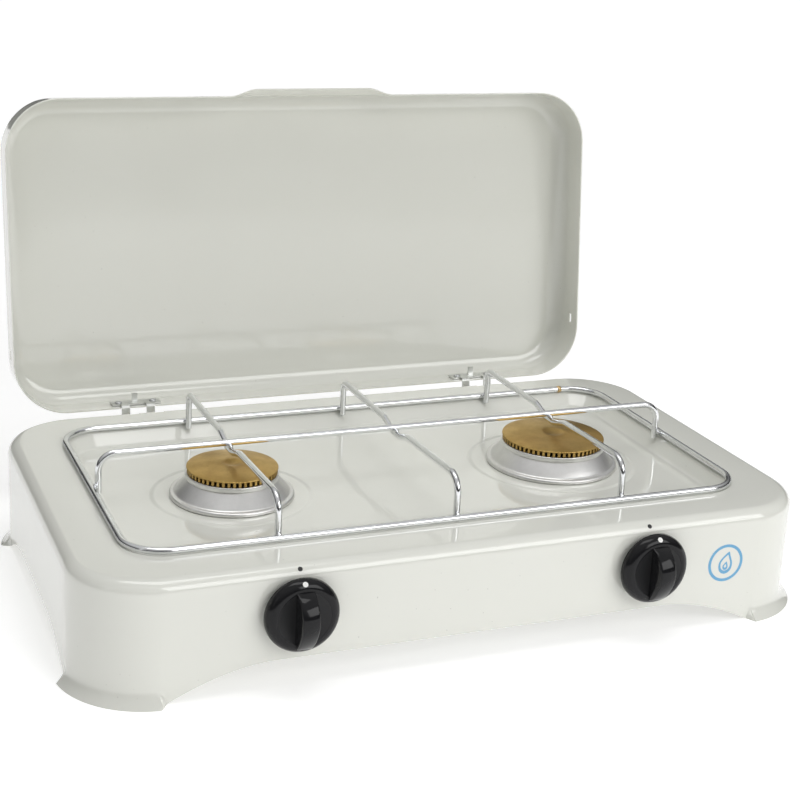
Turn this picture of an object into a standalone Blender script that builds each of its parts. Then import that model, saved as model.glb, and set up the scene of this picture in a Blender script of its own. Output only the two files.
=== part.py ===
"""Two-burner gas camping stove with a lift-up lid, modelled as separate pieces.

Frame: metres, +Z up, the stove stands on z = 0, x = 0 is its middle and the front
panel with the knobs faces -Y.  The lid is open, leaning back against its stop.
Run with: blender --background --python part.py
"""
import math

import bmesh
import bpy
from mathutils import Matrix, Vector

MM = 0.001

# ---------------------------------------------------------------- driving dimensions
GAP = 0.3 * MM                     # clearance between pieces that touch

# Pan support, bent and welded from chromed wire
WIRE_DIAMETER = 4.2 * MM
FRAME_HALF_X = 200.0 * MM          # middle of the frame wire
FRAME_HALF_Y = 102.6 * MM
FRAME_CORNER = 25.0 * MM
POST_BACK = 20.8 * MM              # heights of the bars over the frame wire
POST_FRONT = 24.5 * MM
POST_MIDDLE = 21.4 * MM
POST_TAIL = 3.6 * MM               # how far a post runs on below the frame wire
BAR_BEND_BACK = 6.0 * MM
BAR_BEND_FRONT = 11.0 * MM
JOGGLE_REACH = 21.0 * MM           # half length of the dip under the transverse wire

# Body, pressed from one enamelled sheet
SHEET = 0.8 * MM
RECESS_EDGE = 2.0 * MM             # tray edge outside the middle of the frame wire
TOP_MARGIN = 33.3 * MM             # flat and shoulder between tray edge and wall
BODY_CORNER = 48.0 * MM
SHOULDER = 8.0 * MM
BODY_TOP = 73.3 * MM
TRAY_DEPTH = 8.9 * MM
TRAY_EDGE_ROUND = 4.0 * MM
TRAY_FLOOR_ROUND = 5.0 * MM
APRON_HEIGHT = 17.7 * MM           # clear height under the walls between the feet
FRONT_ARCH = (125.0 * MM, 188.0 * MM)   # the arch runs down to the foot between these
SIDE_ARCH = (40.0 * MM, 94.0 * MM)
FRONT_FOOT_FROM = 190.5 * MM       # a foot's lip starts here
SIDE_FOOT_FROM = 96.0 * MM
LIP_FLARE = 6.0 * MM
LIP_HEIGHT = 9.0 * MM

# Burners
BURNER_X = 112.3 * MM
BURNER_Y = -6.1 * MM
CAP_RADIUS = {"left": 28.8 * MM, "right": 34.1 * MM}
BASE_RADIUS = {"left": 39.2 * MM, "right": 43.8 * MM}
RIM_HEIGHT = 2.6 * MM
CONE_HEIGHT = 9.2 * MM
CROWN_RING = 3.3 * MM
CAP_EDGE = 3.6 * MM                # height of the slotted edge of a cap
CAP_CROWN = 2.2 * MM
THROAT_RADIUS = 9.0 * MM
THROAT_WALL = 2.4 * MM
THROAT_DROP = 7.6 * MM             # throat below the base's seat
FLAME_PORTS = {"left": 30, "right": 36}

# Gas train
TAP_DROP = 26.6 * MM               # tap axis below the body's top
TUBE_WALL = 0.8 * MM
RAIL_RADIUS = 5.0 * MM
RAIL_Y = -116.0 * MM
RAIL_DROP = 18.3 * MM              # rail below the tap axis
RAIL_RUN_X = 160.0 * MM            # where the rail turns to the back
TAP_RADIUS = 9.0 * MM
NECK_RADIUS = 5.0 * MM
PLUG_RADIUS = 5.3 * MM
SPINDLE_RADIUS = 3.0 * MM
PUSH_TRAVEL = 3.0 * MM
KNOB_RADIUS = 22.0 * MM
KNOB_DEPTH = 19.0 * MM
GRIP_HALF = 5.2 * MM                # half the width of the grip bar
NIPPLE_LENGTH = 26.0 * MM
INLET_NECK = 6.0 * MM
TAP_LENGTH = 28.0 * MM             # tap body behind the front panel
TAP_END_WALL = 5.0 * MM            # brass at each end of the plug's chamber
NECK_REACH = 2.9 * MM              # how far the tap's neck stands out of the panel
KNOB_GAP = 0.9 * MM                # pushed-in knob to the panel
JET_LENGTH = 7.0 * MM
JET_TO_TUBE = 4.0 * MM             # open gap where the jet draws in air

# Lid
LID_HALF_X = 219.8 * MM
LID_LENGTH = 218.7 * MM
LID_DEPTH = 32.0 * MM
LID_SHEET = 0.9 * MM
LID_CORNER = 38.0 * MM
LID_FILLET = 12.0 * MM
LID_BACK_Y = 111.0 * MM            # outer face of its rear wall when it is shut
LID_SEAT = 0.5 * MM                # rim over the body's top when it is shut
FINGER_LIP = 5.0 * MM
FINGER_HALF = (42.0 * MM, 62.0 * MM)
LID_LEAN = 6.5                     # degrees past upright against the stop

# Hinges
HINGE_X = 133.0 * MM
HINGE_Y = 131.7 * MM
HINGE_DROP = 23.2 * MM             # hinge axis below the body's top
PIN_RADIUS = 1.5 * MM
EYE_RADIUS = 3.2 * MM
PLATE_WIDTH = 35.0 * MM
PLATE_HEIGHT = 11.0 * MM
STRAP = 1.2 * MM                   # thickness of the stamped hinge parts
ARM_WIDTH = 6.0 * MM
ARM_OFFSET = 9.0 * MM
EAR_OFFSET = 14.6 * MM
RIVET_SHANK = 1.5 * MM
BRACKET_RIVET_X = 8.0 * MM
BRACKET_RIVET_DROP = 13.1 * MM     # bracket rivets below the hinge axis

# ---------------------------------------------------------------- derived places
WIRE = WIRE_DIAMETER / 2
POST_INSET = WIRE_DIAMETER + GAP
BODY_HALF_X = FRAME_HALF_X + RECESS_EDGE + TOP_MARGIN
BODY_HALF_Y = FRAME_HALF_Y + RECESS_EDGE + TOP_MARGIN
TRAY_FLOOR = BODY_TOP - TRAY_DEPTH
FRAME_HEIGHT = BODY_TOP + WIRE     # middle of the frame wire, which lies on the tray edge
HINGE_Z = BODY_TOP - HINGE_DROP
TAP_HEIGHT = BODY_TOP - TAP_DROP
RAIL_HEIGHT = TAP_HEIGHT - RAIL_DROP
SEAT = TRAY_FLOOR + GAP            # underside of a burner base
BASE_TOP = SEAT + RIM_HEIGHT + CONE_HEIGHT + CROWN_RING
CAP_BOTTOM = BASE_TOP + GAP
WALL_INSIDE_Y = BODY_HALF_Y - SHEET
LID_RIM = BODY_TOP + LID_SEAT
LID_MIDDLE_Y = LID_BACK_Y - LID_LENGTH / 2
LID_SWING = 90.0 + LID_LEAN
TAP_FRONT = SHEET + GAP - BODY_HALF_Y
TAP_BACK = TAP_FRONT + TAP_LENGTH
CHAMBER_FRONT = TAP_FRONT + TAP_END_WALL
CHAMBER_BACK = TAP_BACK - TAP_END_WALL
NECK_END = -BODY_HALF_Y - NECK_REACH
KNOB_BACK = -BODY_HALF_Y - PUSH_TRAVEL - KNOB_GAP
TUBE_MOUTH_Y = TAP_BACK + JET_LENGTH + JET_TO_TUBE
BRACKET_RIVET_Z = HINGE_Z - BRACKET_RIVET_DROP
SIDES = (("left", -1), ("right", 1))


# ---------------------------------------------------------------- helpers
def clear_scene():
    for thing in list(bpy.data.objects):
        bpy.data.objects.remove(thing, do_unlink=True)


def make_material(name, colour, metallic, roughness):
    material = bpy.data.materials.new(name)
    material.use_nodes = True
    shader = material.node_tree.nodes["Principled BSDF"]
    shader.inputs["Base Color"].default_value = (*colour, 1.0)
    shader.inputs["Metallic"].default_value = metallic
    shader.inputs["Roughness"].default_value = roughness
    return material


def finish_object(name, mesh, material, smooth_angle=35.0):
    """Puts a closed mesh into the scene under its node name."""
    mesh.materials.append(material)
    mesh.shade_smooth()
    mesh.set_sharp_from_angle(angle=math.radians(smooth_angle))
    thing = bpy.data.objects.new(name, mesh)
    bpy.context.scene.collection.objects.link(thing)
    return thing


def mesh_from(bm, name):
    bmesh.ops.recalc_face_normals(bm, faces=bm.faces)
    mesh = bpy.data.meshes.new(name)
    bm.to_mesh(mesh)
    bm.free()
    return mesh


def skin_loops(loops, name, closed=False, flatten=0.0):
    """Joins rings with the same number of points; open stacks get flat end caps."""
    bm = bmesh.new()
    rings = [[bm.verts.new(point) for point in loop] for loop in loops]
    count = len(rings[0])
    pairs = list(zip(rings, rings[1:]))
    if closed:
        pairs.append((rings[-1], rings[0]))
    for lower, upper in pairs:
        for i in range(count):
            j = (i + 1) % count
            bm.faces.new((lower[i], lower[j], upper[j], upper[i]))
    if not closed:
        bm.faces.new(rings[0])
        bm.faces.new(list(reversed(rings[-1])))
    if flatten:
        bmesh.ops.dissolve_limit(bm, angle_limit=math.radians(flatten),
                                 verts=bm.verts, edges=bm.edges)
    return mesh_from(bm, name)


def turned(name, profile, steps, closed=False):
    """A turned solid about +Z from (radius, height) points; radius 0 makes a pole."""
    bm = bmesh.new()
    rings = []
    for radius, height in profile:
        if radius == 0:
            rings.append([bm.verts.new((0, 0, height))])
            continue
        ring = [2 * math.pi * i / steps for i in range(steps)]
        rings.append([bm.verts.new((radius * math.cos(a), radius * math.sin(a), height))
                      for a in ring])
    pairs = list(zip(rings, rings[1:]))
    if closed:
        pairs.append((rings[-1], rings[0]))
    for lower, upper in pairs:
        for i in range(steps):
            j = (i + 1) % steps
            if len(lower) == 1:
                bm.faces.new((lower[0], upper[j], upper[i]))
            elif len(upper) == 1:
                bm.faces.new((lower[i], lower[j], upper[0]))
            else:
                bm.faces.new((lower[i], lower[j], upper[j], upper[i]))
    return mesh_from(bm, name)


def lay_along_y(mesh):
    """Turns a solid made about +Z so that its height runs along +Y."""
    mesh.transform(Matrix.Rotation(math.radians(-90), 4, "X"))
    return mesh


def block(name, low, high):
    bm = bmesh.new()
    bmesh.ops.create_cube(bm, size=1.0)
    middle = (Vector(low) + Vector(high)) / 2
    size = Vector(high) - Vector(low)
    bmesh.ops.scale(bm, vec=size, verts=bm.verts)
    bmesh.ops.translate(bm, vec=middle, verts=bm.verts)
    return mesh_from(bm, name)


def cylinder(name, radius, start, end, steps=12):
    """A plain round bar between two points."""
    axis = Vector(end) - Vector(start)
    mesh = turned(name, [(0, 0), (radius, 0), (radius, axis.length), (0, axis.length)], steps)
    turn = Vector((0, 0, 1)).rotation_difference(axis).to_matrix().to_4x4()
    mesh.transform(Matrix.Translation(start) @ turn)
    return mesh


def cut(thing, tool_mesh, operation="DIFFERENCE"):
    """Cuts, or with UNION welds, a helper solid; the helper itself is left out."""
    tool = bpy.data.objects.new(tool_mesh.name, tool_mesh)
    bpy.context.scene.collection.objects.link(tool)
    tool.hide_render = True
    tool.display_type = "WIRE"
    tool.parent = thing.parent
    change = thing.modifiers.new(tool_mesh.name, "BOOLEAN")
    change.operation = operation
    change.solver = "EXACT"
    change.object = tool
    return tool


def rounded_outline(half_x, half_y, corner, x_stops, arc_stops):
    """Points round a rectangle with round corners, counter-clockwise from the front.

    x_stops are shares of the front and back edges, arc_stops are degrees.
    """
    straight_x = half_x - corner
    straight_y = half_y - corner
    points = [(straight_x * share, -half_y) for share in x_stops]
    for turn, (cx, cy) in enumerate(((1, -1), (1, 1), (-1, 1), (-1, -1))):
        for degrees in arc_stops:
            angle = math.radians(-90 + 90 * turn + degrees)
            points.append((cx * straight_x + corner * math.cos(angle),
                           cy * straight_y + corner * math.sin(angle)))
        if turn == 1:
            points += [(-straight_x * share, half_y) for share in x_stops]
    return points


def arc_points(centre, radius, start, end, steps):
    """Points on a circle in a plane, angles in degrees."""
    points = []
    for i in range(steps + 1):
        angle = math.radians(start + (end - start) * i / steps)
        points.append((centre[0] + radius * math.cos(angle),
                       centre[1] + radius * math.sin(angle)))
    return points


def rounded_path(corners, radii, steps=5):
    """A path through corner points with each inner corner turned into an arc."""
    corners = [Vector(corner) for corner in corners]
    points = [corners[0]]
    for before, corner, after, radius in zip(corners, corners[1:], corners[2:], radii):
        back = (before - corner).normalized()
        on = (after - corner).normalized()
        half = back.angle(on) / 2
        reach = radius / math.tan(half)
        centre = corner + (back + on).normalized() * (radius / math.sin(half))
        start = corner + back * reach - centre
        end = corner + on * reach - centre
        sweep = start.angle(end)
        for i in range(steps + 1):
            share = i / steps
            mix = (start * math.sin((1 - share) * sweep) + end * math.sin(share * sweep))
            points.append(centre + mix / math.sin(sweep))
    points.append(corners[-1])
    return points


def wire(name, points, radius, material, cyclic=False, sides=2):
    """A round wire or bar: a curve with a round section and closed ends."""
    curve = bpy.data.curves.new(name, "CURVE")
    curve.dimensions = "3D"
    curve.bevel_depth = radius
    curve.bevel_resolution = sides
    curve.use_fill_caps = True
    curve.twist_mode = "MINIMUM"
    spline = curve.splines.new("POLY")
    spline.points.add(len(points) - 1)
    for slot, point in zip(spline.points, points):
        slot.co = (*point, 1.0)
    spline.use_cyclic_u = cyclic
    spline.use_smooth = True
    curve.materials.append(material)
    thing = bpy.data.objects.new(name, curve)
    bpy.context.scene.collection.objects.link(thing)
    return thing


def hollow_tube(name, points, outer, inner, sides=14):
    """A tube with a bore, swept along points that lie in a plane of constant x."""
    points = [Vector(point) for point in points]
    across = Vector((1, 0, 0))
    outside, inside = [], []
    for i, point in enumerate(points):
        ahead = points[min(i + 1, len(points) - 1)] - points[max(i - 1, 0)]
        up = across.cross(ahead).normalized()
        circle = [2 * math.pi * k / sides for k in range(sides)]
        for radius, rings in ((outer, outside), (inner, inside)):
            rings.append([point + radius * (math.cos(a) * across + math.sin(a) * up)
                          for a in circle])
    return skin_loops(outside + inside[::-1], name, closed=True)


def strap_outline(path, thickness):
    """A flat strap's outline in the y-z plane: the path set off to both sides."""
    path = [Vector(point) for point in path]
    left, right = [], []
    for i, point in enumerate(path):
        ahead = (path[min(i + 1, len(path) - 1)] - path[max(i - 1, 0)]).normalized()
        side = Vector((-ahead.y, ahead.x)) * thickness / 2
        left.append(point + side)
        right.append(point - side)
    return left + right[::-1]


def extruded_yz(name, outline, x_low, x_high):
    """A flat y-z outline given thickness along x."""
    loops = [[(x, y, z) for y, z in outline] for x in (x_low, x_high)]
    return skin_loops(loops, name)


def hex_nut(name, half_corners, bore, low, high, steps=24):
    """A hexagon nut about +Z."""
    outer = []
    inner = []
    for i in range(steps):
        angle = 2 * math.pi * i / steps
        into_side = angle % math.radians(60) - math.radians(30)
        radius = half_corners * math.cos(math.radians(30)) / math.cos(into_side)
        outer.append((radius * math.cos(angle), radius * math.sin(angle)))
        inner.append((bore * math.cos(angle), bore * math.sin(angle)))
    loops = [[(x, y, z) for x, y in ring]
             for ring, z in ((outer, low), (outer, high), (inner, high), (inner, low))]
    return skin_loops(loops, name, closed=True)


def rivet_mesh(name, shank, head, head_height, grip, tail=None):
    """A rivet about +Z: domed head at the top, flat set head under the grip."""
    tail = tail or head * 0.85
    return turned(name, [
        (0, -grip - head_height * 0.7), (tail, -grip - head_height * 0.7),
        (tail, -grip), (shank, -grip), (shank, 0), (head, 0),
        (head * 0.8, head_height * 0.6), (head * 0.4, head_height), (0, head_height * 1.1),
    ], 10)


# ---------------------------------------------------------------- body
def arch_height(x, y):
    """Height of the wall's lower edge above the ground, and whether it is a foot."""
    along_front = (abs(x) - FRONT_ARCH[0]) / (FRONT_ARCH[1] - FRONT_ARCH[0])
    along_side = (abs(y) - SIDE_ARCH[0]) / (SIDE_ARCH[1] - SIDE_ARCH[0])
    on_front = abs(y) > BODY_HALF_Y - BODY_CORNER * 0.3
    share = along_front if on_front else along_side
    share = min(max(share, 0.0), 1.0)
    is_foot = abs(x) > FRONT_FOOT_FROM and abs(y) > SIDE_FOOT_FROM
    return APRON_HEIGHT * (1 - share ** 1.8), is_foot


def body_surface(offset):
    """Rings of the pressing from the wall's lower edge to the tray floor.

    offset is 0 for the outside and SHEET for the inside of the sheet.
    """
    straight_x = BODY_HALF_X - BODY_CORNER
    straight_y = BODY_HALF_Y - BODY_CORNER
    x_steps = [-0.96, -0.91, -0.86, -0.80, -0.74, -0.667, 0.667, 0.74, 0.80, 0.86, 0.91, 0.96]
    y_steps = [-0.91, -0.80, -0.64, -0.444, 0.444, 0.64, 0.80, 0.91]
    foot_x = math.degrees(math.asin((FRONT_FOOT_FROM - straight_x) / BODY_CORNER))
    foot_y = math.degrees(math.asin((SIDE_FOOT_FROM - straight_y) / BODY_CORNER))
    first = [0, foot_x * 0.98, foot_x * 1.02 + 1.5]
    last = [90 - foot_y * 1.02 - 1.5, 90 - foot_y * 0.98, 90]
    middle = [first[-1] + (last[0] - first[-1]) * k / 6 for k in range(1, 6)]
    arcs_right_front = first + middle + last
    mirrored = [90 - degrees for degrees in reversed(arcs_right_front)]

    def ring(inset, height_of, corner, flare=0.0):
        points = []
        half_x = BODY_HALF_X - inset
        half_y = BODY_HALF_Y - inset
        straight = (half_x - corner, half_y - corner)
        outline = [(straight[0] * share, -half_y) for share in x_steps]
        plans = (arcs_right_front, mirrored, arcs_right_front, mirrored)
        for turn, (cx, cy) in enumerate(((1, -1), (1, 1), (-1, 1), (-1, -1))):
            for degrees in plans[turn]:
                angle = math.radians(-90 + 90 * turn + degrees)
                outline.append((cx * straight[0] + corner * math.cos(angle),
                                cy * straight[1] + corner * math.sin(angle)))
            if turn == 0:
                outline += [(half_x, straight[1] * share) for share in y_steps]
            elif turn == 1:
                outline += [(-straight[0] * share, half_y) for share in x_steps]
            elif turn == 2:
                outline += [(-half_x, -straight[1] * share) for share in y_steps]
        for x, y in outline:
            wall_x = x * (BODY_HALF_X / half_x)
            wall_y = y * (BODY_HALF_Y / half_y)
            low, is_foot = arch_height(wall_x, wall_y)
            push = Vector((x - math.copysign(straight[0], x), y - math.copysign(straight[1], y)))
            if is_foot and flare and push.length:
                push = push.normalized() * flare
            else:
                push = Vector((0, 0))
            points.append((x + push.x, y + push.y, height_of(low)))
        return points

    rings = []
    for rise in (0.0, 0.16, 0.42, 1.0):
        flare = LIP_FLARE * (1 - rise) ** 2
        rings.append(ring(offset, lambda low, r=rise: low + LIP_HEIGHT * r,
                          BODY_CORNER - offset, flare))
    shoulder = arc_points((SHOULDER, BODY_TOP - SHOULDER), SHOULDER - offset, 180, 90, 4)
    slope = 45.0
    edge = arc_points((TOP_MARGIN, BODY_TOP - TRAY_EDGE_ROUND), TRAY_EDGE_ROUND - offset,
                      90, slope, 3)
    edge_drop = TRAY_EDGE_ROUND * (1 - math.cos(math.radians(slope)))
    floor_drop = TRAY_FLOOR_ROUND * (1 - math.cos(math.radians(slope)))
    run = TRAY_DEPTH - edge_drop - floor_drop
    reach = TOP_MARGIN + TRAY_EDGE_ROUND * math.sin(math.radians(slope)) + run
    floor_centre = reach + TRAY_FLOOR_ROUND * math.sin(math.radians(slope))
    floor = arc_points((floor_centre, TRAY_FLOOR + TRAY_FLOOR_ROUND),
                       TRAY_FLOOR_ROUND + offset, 180 + slope, 270, 3)
    corner_of = {"shoulder": BODY_CORNER, "tray": FRAME_CORNER + RECESS_EDGE}
    for inset, height in shoulder:
        rings.append(ring(inset, lambda low, h=height: h, corner_of["shoulder"] - inset))
    for inset, height in edge + floor:
        corner = corner_of["tray"] - (inset - TOP_MARGIN)
        rings.append(ring(inset, lambda low, h=height: h, corner))
    return rings


def make_body(enamel):
    outside = body_surface(0.0)
    inside = body_surface(SHEET)
    bm = bmesh.new()
    rings = [[bm.verts.new(point) for point in loop] for loop in outside[::-1] + inside]
    count = len(rings[0])
    for lower, upper in zip(rings, rings[1:]):
        for i in range(count):
            j = (i + 1) % count
            bm.faces.new((lower[i], lower[j], upper[j], upper[i]))
    bm.faces.new(rings[0])
    bm.faces.new(list(reversed(rings[-1])))
    bmesh.ops.dissolve_limit(bm, angle_limit=math.radians(0.3), verts=bm.verts, edges=bm.edges)
    body = finish_object("body_shell", mesh_from(bm, "body_shell"), enamel)
    hole = THROAT_RADIUS + THROAT_WALL + 2 * GAP
    for side, sign in SIDES:
        x = sign * BURNER_X
        cut(body, cylinder(f"cut_throat_{side}", hole, (x, BURNER_Y, TRAY_FLOOR - 5 * MM),
                           (x, BURNER_Y, TRAY_FLOOR + 5 * MM), 20))
        cut(body, cylinder(f"cut_tap_{side}", NECK_RADIUS + GAP,
                           (x, -BODY_HALF_Y - 4 * MM, TAP_HEIGHT),
                           (x, -BODY_HALF_Y + 4 * MM, TAP_HEIGHT), 16))
        for arm in (-1, 1):
            middle = sign * HINGE_X + arm * ARM_OFFSET
            half = ARM_WIDTH / 2 + 2 * GAP
            cut(body, block(f"cut_slot_{side}_{arm + 1}",
                            (middle - half, HINGE_Y - 1.4 * MM, slot_bottom()),
                            (middle + half, BODY_HALF_Y + 5 * MM, BODY_TOP + 5 * MM)))
            rivet_x = sign * HINGE_X + arm * BRACKET_RIVET_X
            cut(body, cylinder(f"cut_rivet_{side}_{arm + 1}", RIVET_SHANK + GAP,
                               (rivet_x, BODY_HALF_Y - 4 * MM, BRACKET_RIVET_Z),
                               (rivet_x, BODY_HALF_Y + 4 * MM, BRACKET_RIVET_Z), 10))
    cut(body, cylinder("cut_inlet", INLET_NECK + GAP,
                       (RAIL_RUN_X, BODY_HALF_Y - 4 * MM, RAIL_HEIGHT),
                       (RAIL_RUN_X, BODY_HALF_Y + 4 * MM, RAIL_HEIGHT), 16))
    return body


# ---------------------------------------------------------------- pan support
def make_pan_support(chrome):
    outline = rounded_outline(FRAME_HALF_X, FRAME_HALF_Y, FRAME_CORNER, [],
                              [90 * k / 6 for k in range(7)])
    wire("frame_wire", [(x, y, FRAME_HEIGHT) for x, y in outline], WIRE, chrome, cyclic=True)

    foot = FRAME_HEIGHT - POST_TAIL
    reach = FRAME_HALF_X - POST_INSET
    top = FRAME_HEIGHT + POST_MIDDLE
    wire("transverse_wire", rounded_path(
        [(-reach, 0, foot), (-reach, 0, top), (reach, 0, top), (reach, 0, foot)],
        [BAR_BEND_FRONT, BAR_BEND_FRONT]), WIRE, chrome)

    depth = FRAME_HALF_Y - POST_INSET
    back = FRAME_HEIGHT + POST_BACK
    front = FRAME_HEIGHT + POST_FRONT
    dip = top - WIRE_DIAMETER - GAP
    flat = WIRE_DIAMETER * 1.4
    for name, x in (("left", -BURNER_X), ("middle", 0.0), ("right", BURNER_X)):
        wire(f"cross_wire_{name}", rounded_path(
            [(x, depth, foot), (x, depth, back), (x, JOGGLE_REACH, top), (x, flat, dip),
             (x, -flat, dip), (x, -JOGGLE_REACH, top), (x, -depth, front), (x, -depth, foot)],
            [BAR_BEND_BACK, 12 * MM, 6 * MM, 6 * MM, 12 * MM, BAR_BEND_FRONT], steps=3),
            WIRE, chrome)


# ---------------------------------------------------------------- burners
def make_burner(side, sign, aluminium, brass, steel):
    place = Matrix.Translation((sign * BURNER_X, BURNER_Y, 0))
    wide = BASE_RADIUS[side]
    crown = CAP_RADIUS[side] + 0.6 * MM
    throat_out = THROAT_RADIUS + THROAT_WALL
    rim_top = SEAT + RIM_HEIGHT
    cone_top = rim_top + CONE_HEIGHT
    base = turned(f"burner_base_{side}", [
        (throat_out, SEAT - THROAT_DROP), (throat_out, SEAT), (wide, SEAT),
        (wide, rim_top), (wide - 2.2 * MM, rim_top + 0.2 * MM), (crown - 0.9 * MM, cone_top),
        (crown, cone_top + 0.4 * MM), (crown, BASE_TOP), (crown - 3 * MM, BASE_TOP),
        (crown - 3.4 * MM, cone_top), (throat_out, SEAT + 2.4 * MM),
        (THROAT_RADIUS, SEAT + 1.0 * MM), (THROAT_RADIUS, SEAT - THROAT_DROP),
    ], 32, closed=True)
    base.transform(place)
    finish_object(f"burner_base_{side}", base, aluminium)

    make_cap(side, place, brass)

    nut_top = TRAY_FLOOR - SHEET - GAP
    nut = hex_nut(f"burner_nut_{side}", throat_out + 6 * MM, throat_out + GAP,
                  nut_top - 3.5 * MM, nut_top)
    nut.transform(place)
    finish_object(f"burner_nut_{side}", nut, steel)

    tube_end = SEAT - THROAT_DROP + 5.2 * MM
    bend = 9.0 * MM
    x = sign * BURNER_X
    route = rounded_path([(x, TUBE_MOUTH_Y, TAP_HEIGHT), (x, BURNER_Y, TAP_HEIGHT),
                          (x, BURNER_Y, tube_end)], [bend], steps=6)
    tube = hollow_tube(f"mixing_tube_{side}", route, THROAT_RADIUS - GAP,
                       THROAT_RADIUS - GAP - TUBE_WALL)
    finish_object(f"mixing_tube_{side}", tube, steel)


def make_cap(side, place, brass):
    """A crowned brass disc whose lower edge is cut into short flame ports."""
    radius = CAP_RADIUS[side]
    ports = FLAME_PORTS[side]
    edge_top = CAP_BOTTOM + CAP_EDGE
    inner = radius - 3.2 * MM
    port_top = CAP_BOTTOM + CAP_EDGE * 0.62
    port_share = 0.36
    angles = []
    for i in range(ports):
        start = 2 * math.pi * i / ports
        width = 2 * math.pi / ports * port_share
        angles += [(start, True), (start + width, True), (start + width, False),
                   (start + 2 * math.pi / ports, False)]

    bm = bmesh.new()

    def notched(r):
        return [bm.verts.new((r * math.cos(a), r * math.sin(a),
                              port_top if is_port else CAP_BOTTOM))
                for a, is_port in angles]

    rings = [notched(inner), notched(radius - 0.4 * MM)]
    tops = [angle for angle, is_port in angles[::2]]
    count = len(angles)
    for i in range(count):
        j = (i + 1) % count
        bm.faces.new((rings[0][i], rings[0][j], rings[1][j], rings[1][i]))

    def plain(r, z):
        return [bm.verts.new((r * math.cos(a), r * math.sin(a), z)) for a in tops]

    top_edge = plain(radius, edge_top - 0.8 * MM)
    roof = plain(inner, edge_top - 1.2 * MM)
    for i in range(2 * ports):
        j = (i + 1) % (2 * ports)
        if i % 2 == 0:
            chain = [4 * (i // 2), 4 * (i // 2) + 1]
        else:
            chain = [4 * (i // 2) + 2, 4 * (i // 2) + 3]
        low = chain[0]
        high = chain[1]
        before = (low - 1) % count
        after = (high + 1) % count
        for ring_no, upper in ((1, top_edge), (0, roof)):
            face = [rings[ring_no][low], rings[ring_no][high]]
            if i % 2 == 1:
                face = [rings[ring_no][before]] + face + [rings[ring_no][after]]
            face += [upper[j], upper[i]]
            bm.faces.new(face)
    shoulder = plain(radius - 0.5 * MM, edge_top)
    crown = plain(radius * 0.45, edge_top + CAP_CROWN)
    dimple = plain(radius * 0.12, edge_top + CAP_CROWN * 0.55)
    under = plain(radius * 0.45, edge_top + CAP_CROWN - 1.8 * MM)
    for lower, upper in ((top_edge, shoulder), (shoulder, crown), (crown, dimple),
                         (under, roof)):
        for i in range(2 * ports):
            j = (i + 1) % (2 * ports)
            bm.faces.new((lower[i], lower[j], upper[j], upper[i]))
    bm.faces.new(dimple)
    bm.faces.new(under)
    mesh = mesh_from(bm, f"burner_cap_{side}")
    mesh.transform(place)
    return finish_object(f"burner_cap_{side}", mesh, brass)


# ---------------------------------------------------------------- taps and knobs
def make_tap(side, sign, brass, steel, plastic):
    """Tap body on the rail, jet, taper plug, spindle, front nut and knob."""
    place = Matrix.Translation((sign * BURNER_X, 0, TAP_HEIGHT))

    def turned_along_y(name, profile, steps, closed=False):
        mesh = lay_along_y(turned(name, profile, steps, closed))
        mesh.transform(place)
        return mesh

    chamber = PLUG_RADIUS + GAP
    bore = SPINDLE_RADIUS + GAP
    passage = 1.4 * MM
    tap = turned_along_y(f"gas_tap_{side}", [
        (bore, NECK_END), (NECK_RADIUS, NECK_END), (NECK_RADIUS, TAP_FRONT),
        (TAP_RADIUS, TAP_FRONT), (TAP_RADIUS, TAP_BACK), (passage, TAP_BACK),
        (passage, CHAMBER_BACK), (chamber, CHAMBER_BACK), (chamber, CHAMBER_FRONT),
        (bore, CHAMBER_FRONT),
    ], 16, closed=True)
    tap = finish_object(f"gas_tap_{side}", tap, brass)
    x = sign * BURNER_X
    cut(tap, cylinder(f"stub_{side}", 4.2 * MM,
                      (x, RAIL_Y, RAIL_HEIGHT + RAIL_RADIUS + GAP),
                      (x, RAIL_Y, TAP_HEIGHT - TAP_RADIUS * 0.8), 12), "UNION")

    jet = turned_along_y(f"gas_jet_{side}", [
        (0.6 * MM, TAP_BACK + GAP), (4.5 * MM, TAP_BACK + GAP), (4.5 * MM, TAP_BACK + 3 * MM),
        (2.8 * MM, TAP_BACK + 3.6 * MM), (2.2 * MM, TAP_BACK + JET_LENGTH),
        (0.6 * MM, TAP_BACK + JET_LENGTH),
    ], 12, closed=True)
    finish_object(f"gas_jet_{side}", jet, brass)

    plug_front = CHAMBER_FRONT + GAP
    plug_back = CHAMBER_BACK - GAP
    socket_end = plug_front + PUSH_TRAVEL + 6 * MM
    plug = turned_along_y(f"tap_plug_{side}", [
        (0, plug_back), (PLUG_RADIUS, plug_back), (PLUG_RADIUS, plug_front),
        (bore, plug_front), (bore, socket_end), (0, socket_end),
    ][::-1], 14)
    finish_object(f"tap_plug_{side}", plug, brass)

    tail = plug_front + 4 * MM
    knob_front = KNOB_BACK - KNOB_DEPTH
    shaft_end = KNOB_BACK - 5.3 * MM
    spindle = turned_along_y(f"tap_spindle_{side}", [
        (0, shaft_end), (SPINDLE_RADIUS, shaft_end), (SPINDLE_RADIUS, tail), (0, tail),
    ], 12)
    finish_object(f"tap_spindle_{side}", spindle, steel)

    nut = lay_along_y(hex_nut(f"tap_nut_{side}", 8 * MM, NECK_RADIUS + GAP,
                              -BODY_HALF_Y - 2.6 * MM, -BODY_HALF_Y - GAP))
    nut.transform(place)
    finish_object(f"tap_nut_{side}", nut, steel)
    make_knob(side, place, knob_front, plastic)


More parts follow.
